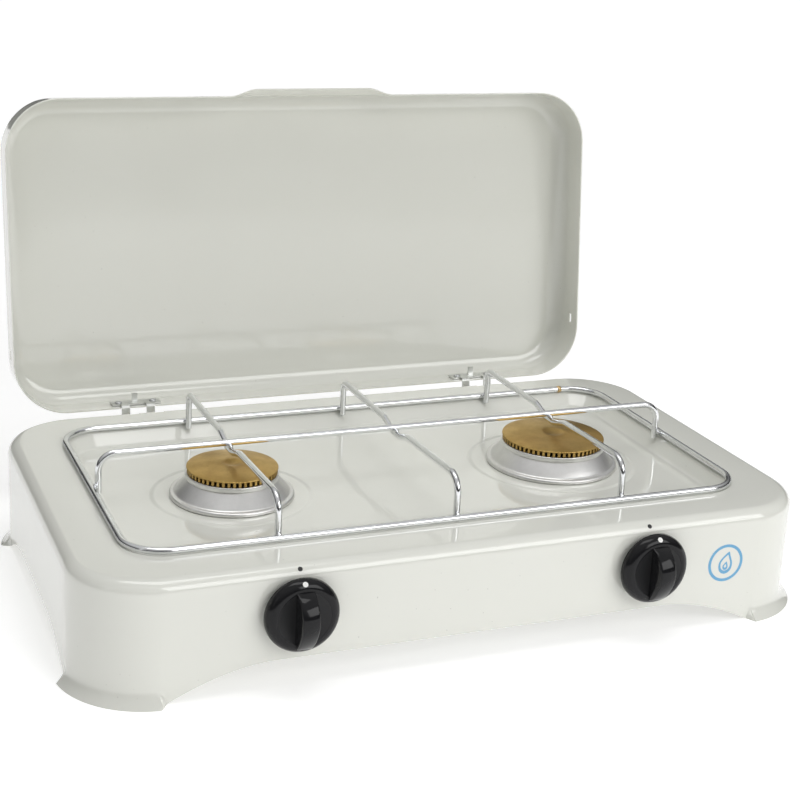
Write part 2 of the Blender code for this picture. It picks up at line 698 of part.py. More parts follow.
def make_knob(side, place, knob_front, plastic):
    skirt_front = KNOB_BACK - 8.0 * MM
    bore = SPINDLE_RADIUS + GAP
    profile = [
        (KNOB_RADIUS - 2 * MM, KNOB_BACK), (KNOB_RADIUS, KNOB_BACK),
        (KNOB_RADIUS, KNOB_BACK - 1.6 * MM), (KNOB_RADIUS - 0.8 * MM, KNOB_BACK - 4.0 * MM),
        (KNOB_RADIUS - 2.6 * MM, KNOB_BACK - 5.9 * MM),
        (KNOB_RADIUS - 5.5 * MM, KNOB_BACK - 7.2 * MM), (0, skirt_front),
        (0, KNOB_BACK - 5.6 * MM), (bore, KNOB_BACK - 5.6 * MM), (bore, KNOB_BACK - 2.4 * MM),
        (6.5 * MM, KNOB_BACK - 2.4 * MM), (6.5 * MM, KNOB_BACK - 5.4 * MM),
        (KNOB_RADIUS - 6 * MM, KNOB_BACK - 5.4 * MM), (KNOB_RADIUS - 2 * MM, KNOB_BACK - 3 * MM),
    ]
    steps = 32
    bm = bmesh.new()
    rings = []
    for radius, y in profile:
        if radius == 0:
            rings.append([bm.verts.new((0, y, 0))])
            continue
        rings.append([bm.verts.new((radius * math.cos(2 * math.pi * i / steps), y,
                                    radius * math.sin(2 * math.pi * i / steps)))
                      for i in range(steps)])
    pairs = [pair for pair in zip(rings, rings[1:] + rings[:1])
             if not (len(pair[0]) == 1 and len(pair[1]) == 1)]
    for lower, upper in pairs:
        for i in range(steps):
            j = (i + 1) % steps
            if len(lower) == 1:
                bm.faces.new((lower[0], upper[j], upper[i]))
            elif len(upper) == 1:
                bm.faces.new((lower[i], lower[j], upper[0]))
            else:
                bm.faces.new((lower[i], lower[j], upper[j], upper[i]))
    mesh = mesh_from(bm, f"knob_{side}")
    mesh.transform(place)
    knob = finish_object(f"knob_{side}", mesh, plastic)
    half = KNOB_RADIUS - 3.2 * MM
    base = skirt_front + 1.8 * MM
    low = skirt_front + 0.4 * MM
    outline = [(base, half - 2.6 * MM)]
    for i in range(13):
        share = i / 12
        rise = math.sin(math.pi * share ** 0.8) ** 0.75 if 0 < i < 12 else 0.0
        outline.append((low + (knob_front - low) * rise,
                        half - 3.0 * MM - (2 * half - 3.2 * MM) * share))
    outline.append((base, 0.2 * MM - half))
    grip = extruded_yz(f"grip_{side}", outline, -GRIP_HALF, GRIP_HALF)
    grip.transform(place)
    cut(knob, grip, "UNION")
    return knob


# ---------------------------------------------------------------- gas rail and inlet
def make_gas_rail(steel, brass):
    end_y = WALL_INSIDE_Y - 5.3 * MM
    wire("gas_rail", rounded_path(
        [(-BURNER_X - 14 * MM, RAIL_Y, RAIL_HEIGHT), (RAIL_RUN_X, RAIL_Y, RAIL_HEIGHT),
         (RAIL_RUN_X, end_y, RAIL_HEIGHT)], [16 * MM]), RAIL_RADIUS, steel, sides=3)
    wall = BODY_HALF_Y
    profile = [
        (0, end_y + GAP), (8 * MM, end_y + GAP), (8 * MM, WALL_INSIDE_Y - GAP),
        (INLET_NECK, WALL_INSIDE_Y - GAP), (INLET_NECK, wall + 6 * MM),
    ]
    start = wall + 7 * MM
    barb = NIPPLE_LENGTH / 4
    for k in range(3):
        profile += [(4.2 * MM, start + barb * k), (5.2 * MM, start + barb * (k + 0.35)),
                    (4.2 * MM, start + barb * (k + 0.95))]
    end = start + barb * 3.2
    profile += [(3.6 * MM, end), (2.2 * MM, end), (2.2 * MM, wall - 2 * MM), (0, wall - 2 * MM)]
    place = Matrix.Translation((RAIL_RUN_X, 0, RAIL_HEIGHT))
    inlet = lay_along_y(turned("hose_inlet", profile, 16))
    inlet.transform(place)
    finish_object("hose_inlet", inlet, brass)
    nut = lay_along_y(hex_nut("inlet_nut", 11 * MM, INLET_NECK + GAP, wall + GAP,
                              wall + 4.6 * MM))
    nut.transform(place)
    finish_object("inlet_nut", nut, brass)


# ---------------------------------------------------------------- hinges
def arm_path():
    """Middle line of a hinge arm with the lid shut: pin eye, leg, over the edge, plate."""
    plate_y = LID_BACK_Y - LID_SHEET - GAP - STRAP / 2
    under_rim = BODY_TOP + 1.3 * MM
    leg = HINGE_Y + 0.9 * MM
    path = rounded_path([(HINGE_Y, HINGE_Z + EYE_RADIUS * 0.8, 0), (leg, HINGE_Z + 12 * MM, 0),
                         (leg, under_rim, 0), (plate_y, under_rim, 0),
                         (plate_y, under_rim + 8 * MM, 0)],
                        [20 * MM, 3.5 * MM, 1.6 * MM], steps=4)
    return [(point.x, point.y) for point in path]


def slot_bottom():
    """Lower end of a slot: the open arm stops just above it."""
    swing = math.radians(-LID_SWING)
    leg = Vector((0.9 * MM, BODY_TOP - HINGE_Z))
    drop = leg.x * math.sin(swing) + leg.y * math.cos(swing)
    run = leg.x * math.cos(swing) - leg.y * math.sin(swing)
    reach = BODY_HALF_Y - HINGE_Y
    return HINGE_Z + drop / run * reach - STRAP / 2 - 0.5 * MM


def make_hinge(side, sign, axis, zinc, steel):
    """Lid plate with two cranked arms, and the body's bracket, pin and rivets."""
    x = sign * HINGE_X
    plate_y = LID_BACK_Y - LID_SHEET - GAP - STRAP
    low = BODY_TOP + 4.4 * MM
    plate = block(f"hinge_plate_{side}", (x - PLATE_WIDTH / 2, plate_y, low),
                  (x + PLATE_WIDTH / 2, plate_y + STRAP, low + PLATE_HEIGHT))
    plate = finish_object(f"hinge_plate_{side}", shut_to_axis(plate), zinc)
    plate.parent = axis
    for arm in (-1, 1):
        middle = x + arm * ARM_OFFSET
        strap = extruded_yz(f"arm_{side}_{arm + 1}", strap_outline(arm_path(), STRAP),
                            middle - ARM_WIDTH / 2, middle + ARM_WIDTH / 2)
        cut(plate, shut_to_axis(strap), "UNION")
        eye = cylinder(f"eye_{side}_{arm + 1}", EYE_RADIUS,
                       (middle - ARM_WIDTH / 2, HINGE_Y, HINGE_Z),
                       (middle + ARM_WIDTH / 2, HINGE_Y, HINGE_Z), 14)
        cut(plate, shut_to_axis(eye), "UNION")
    tab = block(f"tab_{side}", (x - 2 * MM, plate_y - 6.0 * MM, low + PLATE_HEIGHT - 3.6 * MM),
                (x + 2 * MM, plate_y + STRAP / 2, low + PLATE_HEIGHT - 2.4 * MM))
    cut(plate, shut_to_axis(tab), "UNION")
    bore = cylinder(f"pin_bore_{side}", PIN_RADIUS + GAP,
                    (x - PLATE_WIDTH, HINGE_Y, HINGE_Z), (x + PLATE_WIDTH, HINGE_Y, HINGE_Z), 12)
    cut(plate, shut_to_axis(bore))
    rivet_z = low + PLATE_HEIGHT / 2
    for end in (-1, 1):
        rivet_x = x + end * 12.5 * MM
        hole = cylinder(f"plate_hole_{side}_{end + 1}", RIVET_SHANK + GAP,
                        (rivet_x, plate_y - 3 * MM, rivet_z),
                        (rivet_x, plate_y + 5 * MM, rivet_z), 10)
        cut(plate, shut_to_axis(hole))
        which = "outer" if end == sign else "inner"
        rivet = rivet_mesh(f"lid_rivet_{side}_{which}", RIVET_SHANK, 2.6 * MM, 1.2 * MM,
                           LID_SHEET + STRAP + 3 * GAP)
        rivet.transform(Matrix.Translation((rivet_x, LID_BACK_Y + GAP, rivet_z))
                        @ Matrix.Rotation(math.radians(-90), 4, "X"))
        rivet = finish_object(f"lid_rivet_{side}_{which}", shut_to_axis(rivet), steel)
        rivet.parent = axis
    make_bracket(side, x, zinc, steel)


def make_bracket(side, x, zinc, steel):
    """The bracket inside the rear wall that carries the hinge pin."""
    back = WALL_INSIDE_Y - GAP
    base_low = BRACKET_RIVET_Z - 6 * MM
    base_high = BRACKET_RIVET_Z + 6 * MM
    half = EAR_OFFSET + STRAP / 2
    bracket = finish_object(
        f"hinge_bracket_{side}",
        block(f"hinge_bracket_{side}", (x - half, back - STRAP, base_low),
              (x + half, back, base_high)), zinc)
    for end in (-1, 1):
        middle = x + end * EAR_OFFSET
        ear = [(back - STRAP / 2, base_low), (back - STRAP / 2, HINGE_Z + 2 * MM)]
        ear += arc_points((HINGE_Y, HINGE_Z), EYE_RADIUS + 0.6 * MM, 45, 180, 5)
        ear += [(HINGE_Y - EYE_RADIUS - 0.6 * MM, base_high), (back - 3.4 * MM, base_low)]
        cut(bracket, extruded_yz(f"ear_{side}_{end + 1}", ear, middle - STRAP / 2,
                                 middle + STRAP / 2), "UNION")
    cut(bracket, cylinder(f"bracket_bore_{side}", PIN_RADIUS + GAP,
                          (x - 2 * EAR_OFFSET, HINGE_Y, HINGE_Z),
                          (x + 2 * EAR_OFFSET, HINGE_Y, HINGE_Z), 12))
    head = 2.6 * MM
    length = half + GAP
    pin = turned(f"hinge_pin_{side}", [
        (0, -length - 1.2 * MM), (head, -length - 1.2 * MM), (head, -length),
        (PIN_RADIUS, -length), (PIN_RADIUS, length), (head, length),
        (head, length + 1.2 * MM), (0, length + 1.2 * MM)], 12)
    pin.transform(Matrix.Translation((x, HINGE_Y, HINGE_Z))
                  @ Matrix.Rotation(math.radians(90), 4, "Y"))
    finish_object(f"hinge_pin_{side}", pin, steel)
    for end in (-1, 1):
        rivet_x = x + end * BRACKET_RIVET_X
        cut(bracket, cylinder(f"bracket_hole_{side}_{end + 1}", RIVET_SHANK + GAP,
                              (rivet_x, back - 4 * MM, BRACKET_RIVET_Z),
                              (rivet_x, back + 4 * MM, BRACKET_RIVET_Z), 10))
        which = "a" if end < 0 else "b"
        rivet = rivet_mesh(f"bracket_rivet_{side}_{which}", RIVET_SHANK, 3.0 * MM, 1.4 * MM,
                           SHEET + STRAP + 3 * GAP)
        rivet.transform(Matrix.Translation((rivet_x, BODY_HALF_Y + GAP, BRACKET_RIVET_Z))
                        @ Matrix.Rotation(math.radians(-90), 4, "X"))
        finish_object(f"bracket_rivet_{side}_{which}", rivet, steel)


# ---------------------------------------------------------------- lid
def make_lid_axis():
    """An empty on the hinge axis, swung back from shut to open."""
    axis = bpy.data.objects.new("lid_axis", None)
    axis.location = (0, HINGE_Y, HINGE_Z)
    axis.rotation_euler = (math.radians(-LID_SWING), 0, 0)
    bpy.context.scene.collection.objects.link(axis)
    return axis


def shut_to_axis(mesh):
    """Moves a mesh drawn with the lid shut into the lid axis's own frame."""
    mesh.transform(Matrix.Translation((0, -HINGE_Y, -HINGE_Z)))
    return mesh


def lid_surface(offset):
    """Rings of the lid pressing, drawn shut, from its rim to its panel."""
    straight = LID_HALF_X - LID_CORNER
    near = [FINGER_HALF[0] + (FINGER_HALF[1] - FINGER_HALF[0]) * k / 4 for k in range(5)]
    x_stops = [-value / straight for value in reversed(near)] + [value / straight
                                                                 for value in near]
    arcs = [90 * k / 6 for k in range(7)]

    def ring(inset, height, bulge):
        corner = LID_CORNER - inset
        outline = rounded_outline(LID_HALF_X - inset, LID_LENGTH / 2 - inset, corner,
                                  x_stops, arcs)
        points = []
        for x, y in outline:
            share = (FINGER_HALF[1] - abs(x)) / (FINGER_HALF[1] - FINGER_HALF[0])
            share = min(max(share, 0.0), 1.0)
            swell = bulge * share * share * (3 - 2 * share)
            push = swell if y < -LID_LENGTH / 2 + inset + 1e-6 else 0.0
            points.append((x, y - push + LID_MIDDLE_Y, height))
        return points

    wall_top = LID_RIM + LID_DEPTH - LID_FILLET
    rings = [ring(offset, LID_RIM, FINGER_LIP),
             ring(offset, LID_RIM + 2 * MM, FINGER_LIP * 0.72),
             ring(offset, LID_RIM + 6 * MM, FINGER_LIP * 0.2),
             ring(offset, LID_RIM + 10 * MM, 0.0)]
    fillet = arc_points((LID_FILLET, wall_top), LID_FILLET - offset, 180, 90, 5)
    rings += [ring(inset, height, 0.0) for inset, height in fillet]
    return rings


def make_lid(axis, enamel):
    outside = lid_surface(0.0)
    inside = lid_surface(LID_SHEET)
    mesh = skin_loops(outside[::-1] + inside, "lid", flatten=0.3)
    lid = finish_object("lid", shut_to_axis(mesh), enamel)
    lid.parent = axis
    for side, sign in SIDES:
        for arm in (-1, 1):
            middle = sign * HINGE_X + arm * ARM_OFFSET
            half = ARM_WIDTH / 2 + 2 * GAP
            cut(lid, shut_to_axis(block(
                f"notch_{side}_{arm + 1}", (middle - half, LID_BACK_Y - 4 * MM, LID_RIM - 2 * MM),
                (middle + half, LID_BACK_Y + 2 * MM, BODY_TOP + 2.8 * MM))))
            rivet_x = sign * HINGE_X + arm * 12.5 * MM
            rivet_z = BODY_TOP + 4.4 * MM + PLATE_HEIGHT / 2
            cut(lid, shut_to_axis(cylinder(
                f"lid_hole_{side}_{arm + 1}", RIVET_SHANK + GAP,
                (rivet_x, LID_BACK_Y - 4 * MM, rivet_z),
                (rivet_x, LID_BACK_Y + 4 * MM, rivet_z), 10)))
        wall = sign * LID_HALF_X
        slot_y = LID_BACK_Y - 42 * MM
        cut(lid, shut_to_axis(block(
            f"side_slot_{side}", (wall - 6 * MM, slot_y - 3.4 * MM, LID_RIM + 9.2 * MM),
            (wall + 6 * MM, slot_y + 3.4 * MM, LID_RIM + 12 * MM))))
    return lid


# ---------------------------------------------------------------- the stove
def build():
    clear_scene()
    enamel = make_material("white_enamel", (0.80, 0.80, 0.77), 0.0, 0.18)
    chrome = make_material("chromed_wire", (0.72, 0.73, 0.74), 1.0, 0.12)
    aluminium = make_material("cast_aluminium", (0.74, 0.74, 0.74), 1.0, 0.32)
    brass = make_material("brass", (0.72, 0.53, 0.25), 1.0, 0.38)
    steel = make_material("zinc_steel", (0.62, 0.63, 0.64), 1.0, 0.35)
    zinc = make_material("zinc_plate", (0.70, 0.71, 0.69), 1.0, 0.30)
    plastic = make_material("black_plastic", (0.012, 0.012, 0.013), 0.0, 0.22)

    make_body(enamel)
    make_pan_support(chrome)
    for side, sign in SIDES:
        make_burner(side, sign, aluminium, brass, steel)
        make_tap(side, sign, brass, steel, plastic)
    make_gas_rail(steel, brass)
    axis = make_lid_axis()
    make_lid(axis, enamel)
    for side, sign in SIDES:
        make_hinge(side, sign, axis, zinc, steel)


build()
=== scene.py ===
# %% [markdown]
# # Two-burner camping stove
# The looks of a white enamelled camping stove, built round its packed working parts.
# Everything is in metres in the stove's own frame: +Z up, standing on z = 0, the
# front panel with the knobs faces -Y.  The lid is open and leans back.

# %% Set-up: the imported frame, the driving sizes and the places that follow from them
import math

import bmesh
import bpy
from mathutils import Matrix, Vector


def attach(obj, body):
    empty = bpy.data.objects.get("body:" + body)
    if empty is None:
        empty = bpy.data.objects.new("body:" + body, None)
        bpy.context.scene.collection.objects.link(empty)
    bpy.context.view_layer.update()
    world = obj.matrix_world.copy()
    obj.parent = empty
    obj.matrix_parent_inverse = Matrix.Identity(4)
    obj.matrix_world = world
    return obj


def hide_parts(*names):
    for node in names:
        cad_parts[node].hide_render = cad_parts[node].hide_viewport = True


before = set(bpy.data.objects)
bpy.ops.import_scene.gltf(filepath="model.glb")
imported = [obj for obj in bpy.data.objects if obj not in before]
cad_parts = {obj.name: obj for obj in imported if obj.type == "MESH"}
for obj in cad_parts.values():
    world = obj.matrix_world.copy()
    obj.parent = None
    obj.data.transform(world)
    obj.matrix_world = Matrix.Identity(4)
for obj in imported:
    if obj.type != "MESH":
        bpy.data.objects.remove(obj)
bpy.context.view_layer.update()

MM = 0.001
GAP = 0.3 * MM
WIRE = 2.1 * MM
FRAME_HALF = (200.0 * MM, 102.6 * MM)
FRAME_CORNER = 25.0 * MM
FRAME_HEIGHT = 75.4 * MM
POST_BACK, POST_MIDDLE, POST_FRONT = 20.8 * MM, 21.4 * MM, 24.5 * MM
POST_TAIL = 3.6 * MM
POST_INSET = 2 * WIRE + GAP
JOGGLE_REACH = 21.0 * MM
SHEET = 0.8 * MM
BODY_HALF = (235.3 * MM, 137.9 * MM)
BODY_CORNER = 48.0 * MM
SHOULDER = 8.0 * MM
BODY_TOP = 73.3 * MM
TRAY_FLOOR = 64.4 * MM
TRAY_CORNER = 27.0 * MM
TOP_MARGIN = 33.3 * MM
TRAY_EDGE_ROUND, TRAY_FLOOR_ROUND = 4.0 * MM, 5.0 * MM
APRON_HEIGHT = 17.7 * MM
FRONT_ARCH, SIDE_ARCH = (125.0 * MM, 188.0 * MM), (40.0 * MM, 94.0 * MM)
FOOT_FROM = (190.5 * MM, 96.0 * MM)
LIP_FLARE, LIP_HEIGHT = 6.0 * MM, 9.0 * MM
BURNER_X, BURNER_Y = 112.3 * MM, -6.1 * MM
CAP_RADIUS = {"left": 28.8 * MM, "right": 34.1 * MM}
BASE_RADIUS = {"left": 39.2 * MM, "right": 43.8 * MM}
PRESSED_RING = {"left": 52.0 * MM, "right": 57.0 * MM}
SEAT = TRAY_FLOOR + GAP
RIM_TOP = SEAT + 2.6 * MM
CONE_TOP = RIM_TOP + 9.2 * MM
BASE_TOP = CONE_TOP + 3.3 * MM
CAP_BOTTOM = BASE_TOP + GAP
CAP_EDGE, CAP_CROWN = 3.6 * MM, 2.2 * MM
THROAT, THROAT_OUT = 9.0 * MM, 11.4 * MM
TAP_HEIGHT = 46.7 * MM
KNOB_RADIUS, KNOB_DEPTH, GRIP_HALF = 22.0 * MM, 19.0 * MM, 5.2 * MM
KNOB_BACK = -BODY_HALF[1] - 3.9 * MM
LID_HALF_X, LID_LENGTH, LID_DEPTH = 219.8 * MM, 218.7 * MM, 32.0 * MM
LID_SHEET, LID_CORNER, LID_FILLET = 0.9 * MM, 38.0 * MM, 12.0 * MM
LID_BACK_Y = 111.0 * MM
LID_RIM = BODY_TOP + 0.5 * MM
LID_MIDDLE_Y = LID_BACK_Y - LID_LENGTH / 2
FINGER_LIP, FINGER_HALF = 5.0 * MM, (42.0 * MM, 62.0 * MM)
LID_SWING = 96.5
HINGE_X, HINGE_Y, HINGE_Z = 133.0 * MM, 131.7 * MM, 50.1 * MM
ARM_OFFSET, ARM_HALF = 9.0 * MM, 3.6 * MM
TAP_HOLE, INLET_HOLE = 5.3 * MM, 6.3 * MM
INLET_X, INLET_HEIGHT = 160 * MM, 28.4 * MM
BRACKET_RIVET_X, BRACKET_RIVET_Z = 8.0 * MM, 37.0 * MM
LID_RIVET_X, LID_RIVET_Z = 12.5 * MM, BODY_TOP + 9.9 * MM
INDEX_DOT_X = 111.5 * MM
MARK_CENTRE, MARK_RING = (167.5 * MM, 40.9 * MM), (12.4 * MM, 10.5 * MM)
CAMERA_PLACE, CAMERA_TURN = (-0.38443, -0.89653, 0.44669), (21.689, 17.208, 2.542)
CAMERA_LENS, CAMERA_SHIFT = 71.67, (0.0505, -0.0562)
LIGHTS = (("key_front", (0.95, -1.75, 1.15), (0, 0, 0.1), (1.7, 1.1), 19.0),
          ("top", (-0.1, -0.1, 2.0), (0, 0, 0), (1.4, 0.7), 8.6),
          ("fill_left", (-1.8, -0.8, 0.8), (0, 0, 0.1), (0.3, 0.9), 0.6))
SIDES = (("left", -1), ("right", 1))
OPEN_LID = (Matrix.Translation((0, HINGE_Y, HINGE_Z))
            @ Matrix.Rotation(math.radians(-LID_SWING), 4, "X")
            @ Matrix.Translation((0, -HINGE_Y, -HINGE_Z)))


# %% [markdown]
# ## Materials
# Each one is a small node tree on object coordinates: a base finish, a slow unevenness
# from the making, and fine marks from use.

# %% Materials: the node-tree helper and the finishes
class Finish:
    """Builds a Principled material node by node."""

    def __init__(self, name, colour, metallic=0.0, roughness=0.4, **more):
        self.material = bpy.data.materials.new(name)
        self.material.use_nodes = True
        self.nodes = self.material.node_tree.nodes
        self.links = self.material.node_tree.links
        self.shader = self.nodes["Principled BSDF"]
        self.set(self.shader, "Base Color", (*colour, 1.0))
        self.set(self.shader, "Metallic", metallic)
        self.set(self.shader, "Roughness", roughness)
        for socket, value in more.items():
            self.set(self.shader, socket.replace("_", " "), value)
        self.place = self.add("ShaderNodeTexCoord").outputs["Object"]

    def set(self, node, socket, value):
        target = node.inputs[socket]
        if isinstance(value, bpy.types.NodeSocket):
            self.links.new(value, target)
        else:
            target.default_value = value

    def add(self, kind, **settings):
        node = self.nodes.new(kind)
        for key, value in settings.items():
            setattr(node, key, value)
        return node

    def maths(self, operation, first, second=0.0):
        node = self.add("ShaderNodeMath", operation=operation)
        for slot, value in enumerate((first, second)):
            self.set(node, slot, value)
        return node.outputs[0]

    def noise(self, scale, detail=4.0, rough=0.55, place=None):
        node = self.add("ShaderNodeTexNoise")
        self.set(node, "Scale", scale)
        self.set(node, "Detail", detail)
        self.set(node, "Roughness", rough)
        self.set(node, "Vector", place or self.place)
        return node.outputs["Fac"]

    def vector(self, operation, first, second=(0, 0, 0)):
        node = self.add("ShaderNodeVectorMath", operation=operation)
        self.set(node, 0, first)
        self.set(node, 1, second)
        return node.outputs["Value" if operation == "LENGTH" else "Vector"]

    def span(self, value, low, high, to_low, to_high, smooth=False):
        node = self.add("ShaderNodeMapRange")
        if smooth:
            node.interpolation_type = "SMOOTHSTEP"
        for socket, amount in (("Value", value), ("From Min", low), ("From Max", high),
                               ("To Min", to_low), ("To Max", to_high)):
            self.set(node, socket, amount)
        return node.outputs["Result"]

    def mix(self, share, first, second):
        node = self.add("ShaderNodeMix", data_type="RGBA")
        self.set(node, 0, share)
        for socket, colour in ((6, first), (7, second)):
            if not isinstance(colour, bpy.types.NodeSocket):
                colour = (*colour, 1.0)
            self.set(node, socket, colour)
        return node.outputs[2]

    def bump(self, height, distance, strength=1.0, below=None):
        node = self.add("ShaderNodeBump")
        self.set(node, "Height", height)
        self.set(node, "Distance", distance)
        self.set(node, "Strength", strength)
        if below:
            self.set(node, "Normal", below)
        return node.outputs["Normal"]

    def colour(self, value):
        self.set(self.shader, "Base Color", value)

    def roughness(self, value):
        self.set(self.shader, "Roughness", value)

    def normal(self, value):
        self.set(self.shader, "Normal", value)

    def radius_about(self, centre):
        """Distance from the upright axis through the centre."""
        flat = self.vector("MULTIPLY", self.vector("SUBTRACT", self.place, centre), (1, 1, 0))
        return self.vector("LENGTH", flat)

    def absolute_x(self):
        return self.vector("ABSOLUTE", self.place)

    def split(self, value):
        node = self.add("ShaderNodeSeparateXYZ")
        self.set(node, 0, value)
        return node.outputs

    def combine(self, *values):
        node = self.add("ShaderNodeCombineXYZ")
        for slot, value in enumerate(values):
            self.set(node, slot, value)
        return node.outputs[0]


def enamel(name, body):
    """White vitreous enamel: glassy, faintly wavy, with a few pin-sized specks."""
    f = Finish(name, (0.77, 0.78, 0.735), roughness=0.1, Coat_Weight=0.5, Coat_Roughness=0.03)
    f.set(f.shader, "IOR", 1.52)
    slow = f.noise(9.0, 3.0)
    base = f.mix(slow, (0.755, 0.76, 0.70), (0.78, 0.785, 0.728))
    speck = f.span(f.noise(620.0, 1.0), 0.79, 0.82, 0.0, 0.35)
    f.colour(f.mix(speck, base, (0.20, 0.19, 0.17)))
    f.roughness(f.span(f.noise(34.0, 5.0), 0.3, 0.75, 0.06, 0.15))
    peel = f.bump(f.noise(210.0, 2.0), 0.00003, 0.5)
    wave = f.bump(f.noise(16.0, 1.0), 0.0006, 0.25, peel)
    if body:
        for side, sign in SIDES:
            away = f.radius_about((sign * BURNER_X, BURNER_Y, 0))
            edge = PRESSED_RING[side]
            step = f.span(away, edge - 4 * MM, edge, 1.0, 0.0, smooth=True)
            up = f.maths("GREATER_THAN", f.split(f.place)["Z"], TRAY_FLOOR - 0.3 * MM)
            wave = f.bump(f.maths("MULTIPLY", step, up), 0.001, 1.0, wave)
    f.normal(wave)
    return f.material


def chrome():
    """Bright plated wire with finger smears and duller patches."""
    f = Finish("bright_chrome", (0.80, 0.81, 0.82), metallic=1.0, roughness=0.16)
    smear = f.noise(70.0, 4.0)
    f.roughness(f.span(smear, 0.35, 0.75, 0.12, 0.21))
    f.colour(f.mix(f.span(f.noise(26.0, 3.0), 0.4, 0.8, 0.0, 0.6),
                   (0.82, 0.83, 0.84), (0.60, 0.61, 0.62)))
    f.normal(f.bump(f.noise(160.0, 2.0), 0.00001, 0.08))
    return f.material


def turned_metal(name, light, dark, low, high, pitch, depth, brushed):
    """Metal with concentric tool lines about each burner's axis."""
    f = Finish(name, light, metallic=1.0, roughness=low)
    centred = f.vector("SUBTRACT", f.absolute_x(), (BURNER_X, 0, 0))
    shifted = f.vector("SUBTRACT", f.place, (0, BURNER_Y, 0))
    x = f.split(centred)["X"]
    y, z = (f.split(shifted)[axis] for axis in "YZ")
    away = f.maths("SQRT", f.maths("ADD", f.maths("POWER", x, 2.0), f.maths("POWER", y, 2.0)))
    turn = f.maths("ARCTAN2", y, x)
    where = f.combine(f.maths("MULTIPLY", away, pitch), f.maths("MULTIPLY", turn, 0.35),
                      f.maths("MULTIPLY", z, pitch))
    lines = f.noise(1.0, 5.0, 0.7, place=where)
    which = f.maths("SIGN", f.split(f.place)["X"])
    along = f.combine(f.maths("MULTIPLY", y, -1.0), f.maths("MULTIPLY", x, which))
    f.set(f.shader, "Tangent", f.vector("NORMALIZE", along))
    f.set(f.shader, "Anisotropic", brushed)
    blotch = f.noise(60.0, 5.0, 0.65)
    f.colour(f.mix(f.span(blotch, 0.35, 0.72, 0.0, 1.0), light, dark))
    f.roughness(f.span(f.maths("ADD", lines, blotch), 0.6, 1.4, low, high))
    f.normal(f.bump(lines, depth, 0.8))
    return f.material


def plated_steel(name, colour):
    """Zinc plating: soft spangle, dull patches and a little grain."""
    f = Finish(name, colour, metallic=1.0, roughness=0.32)
    cells = f.add("ShaderNodeTexVoronoi")
    f.set(cells, "Scale", 320.0)
    f.set(cells, "Vector", f.place)
    patch = f.noise(90.0, 4.0)
    dark = tuple(0.72 * c for c in colour)
    f.colour(f.mix(f.span(patch, 0.35, 0.7, 0.0, 0.8), colour, dark))
    f.roughness(f.span(cells.outputs["Distance"], 0.0, 0.9, 0.24, 0.42))
    f.normal(f.bump(f.noise(1400.0, 2.0), 0.00001, 0.4))
    return f.material


def brass_fitting():
    """Plain brass, darker and duller in patches."""
    f = Finish("brass_fitting", (0.70, 0.50, 0.24), metallic=1.0, roughness=0.3)
    patch = f.noise(110.0, 5.0, 0.6)
    f.colour(f.mix(f.span(patch, 0.38, 0.72, 0.0, 1.0), (0.72, 0.53, 0.27), (0.42, 0.28, 0.13)))
    f.roughness(f.span(patch, 0.3, 0.7, 0.22, 0.45))
    f.normal(f.bump(f.noise(1200.0, 2.0), 0.00001, 0.4))
    return f.material


def knob_plastic():
    """Polished black plastic whose two side flats are left matt."""
    f = Finish("knob_black", (0.010, 0.010, 0.011), roughness=0.12, Specular_IOR_Level=0.24)
    centred = f.vector("SUBTRACT", f.absolute_x(), (BURNER_X, 0, TAP_HEIGHT))
    flat = f.vector("MULTIPLY", centred, (1, 0, 1))
    inside = f.span(f.vector("LENGTH", flat), 15.5 * MM, 15.8 * MM, 1.0, 0.0)
    aside = f.maths("ABSOLUTE", f.split(flat)["X"])
    beside = f.span(aside, GRIP_HALF + 0.1 * MM, GRIP_HALF + 0.3 * MM, 0.0, 1.0)
    band = f.maths("MULTIPLY", inside, beside)
    grain = f.noise(1900.0, 2.0)
    f.colour(f.mix(f.maths("MULTIPLY", band, 0.8), (0.010, 0.010, 0.011), (0.020, 0.020, 0.021)))
    smooth = f.span(f.noise(80.0, 4.0), 0.3, 0.7, 0.07, 0.15)
    f.roughness(f.maths("ADD", smooth, f.maths("MULTIPLY", band, 0.24)))
    f.normal(f.bump(f.maths("MULTIPLY", grain, band), 0.00004, 0.6))
    return f.material


def print_ink(name, colour):
    """Stoved ink: nearly flat, a little uneven in tone."""
    f = Finish(name, colour, roughness=0.35)
    worn = tuple(min(1.0, c * 1.18 + 0.012) for c in colour)
    f.colour(f.mix(f.noise(900.0, 3.0), colour, worn))
    f.roughness(f.span(f.noise(500.0, 2.0), 0.3, 0.7, 0.28, 0.46))
    f.normal(f.bump(f.noise(1500.0, 2.0), 0.00001, 0.3))
    return f.material


LOOK = {
    "body": enamel("white_enamel_body", True),
    "lid": enamel("white_enamel_lid", False),
    "chrome": chrome(),
    "aluminium": turned_metal("turned_aluminium", (0.86, 0.855, 0.84), (0.74, 0.735, 0.72),
                              0.26, 0.42, 2600.0, 0.000006, 0.7),
    "cap": turned_metal("brass_cap", (0.62, 0.42, 0.14), (0.45, 0.29, 0.09),
                        0.30, 0.50, 2600.0, 0.000008, 0.5),
    "fitting": brass_fitting(),
    "steel": plated_steel("zinc_steel", (0.60, 0.61, 0.62)),
    "plate": plated_steel("zinc_plate", (0.70, 0.71, 0.69)),
    "knob": knob_plastic(),
    "black_ink": print_ink("black_ink", (0.012, 0.012, 0.012)),
    "white_ink": print_ink("white_ink", (0.78, 0.78, 0.76)),
    "blue_ink": print_ink("blue_ink", (0.13, 0.36, 0.58)),
}
print("materials:", ", ".join(sorted(LOOK)))


# %% [markdown]
# ## Tools for making pieces
# Stacks of rings joined into skins, turned solids, bent wires, flat outlines, and a way
# to bake cutters and node trees into a finished mesh at the frame's origin.

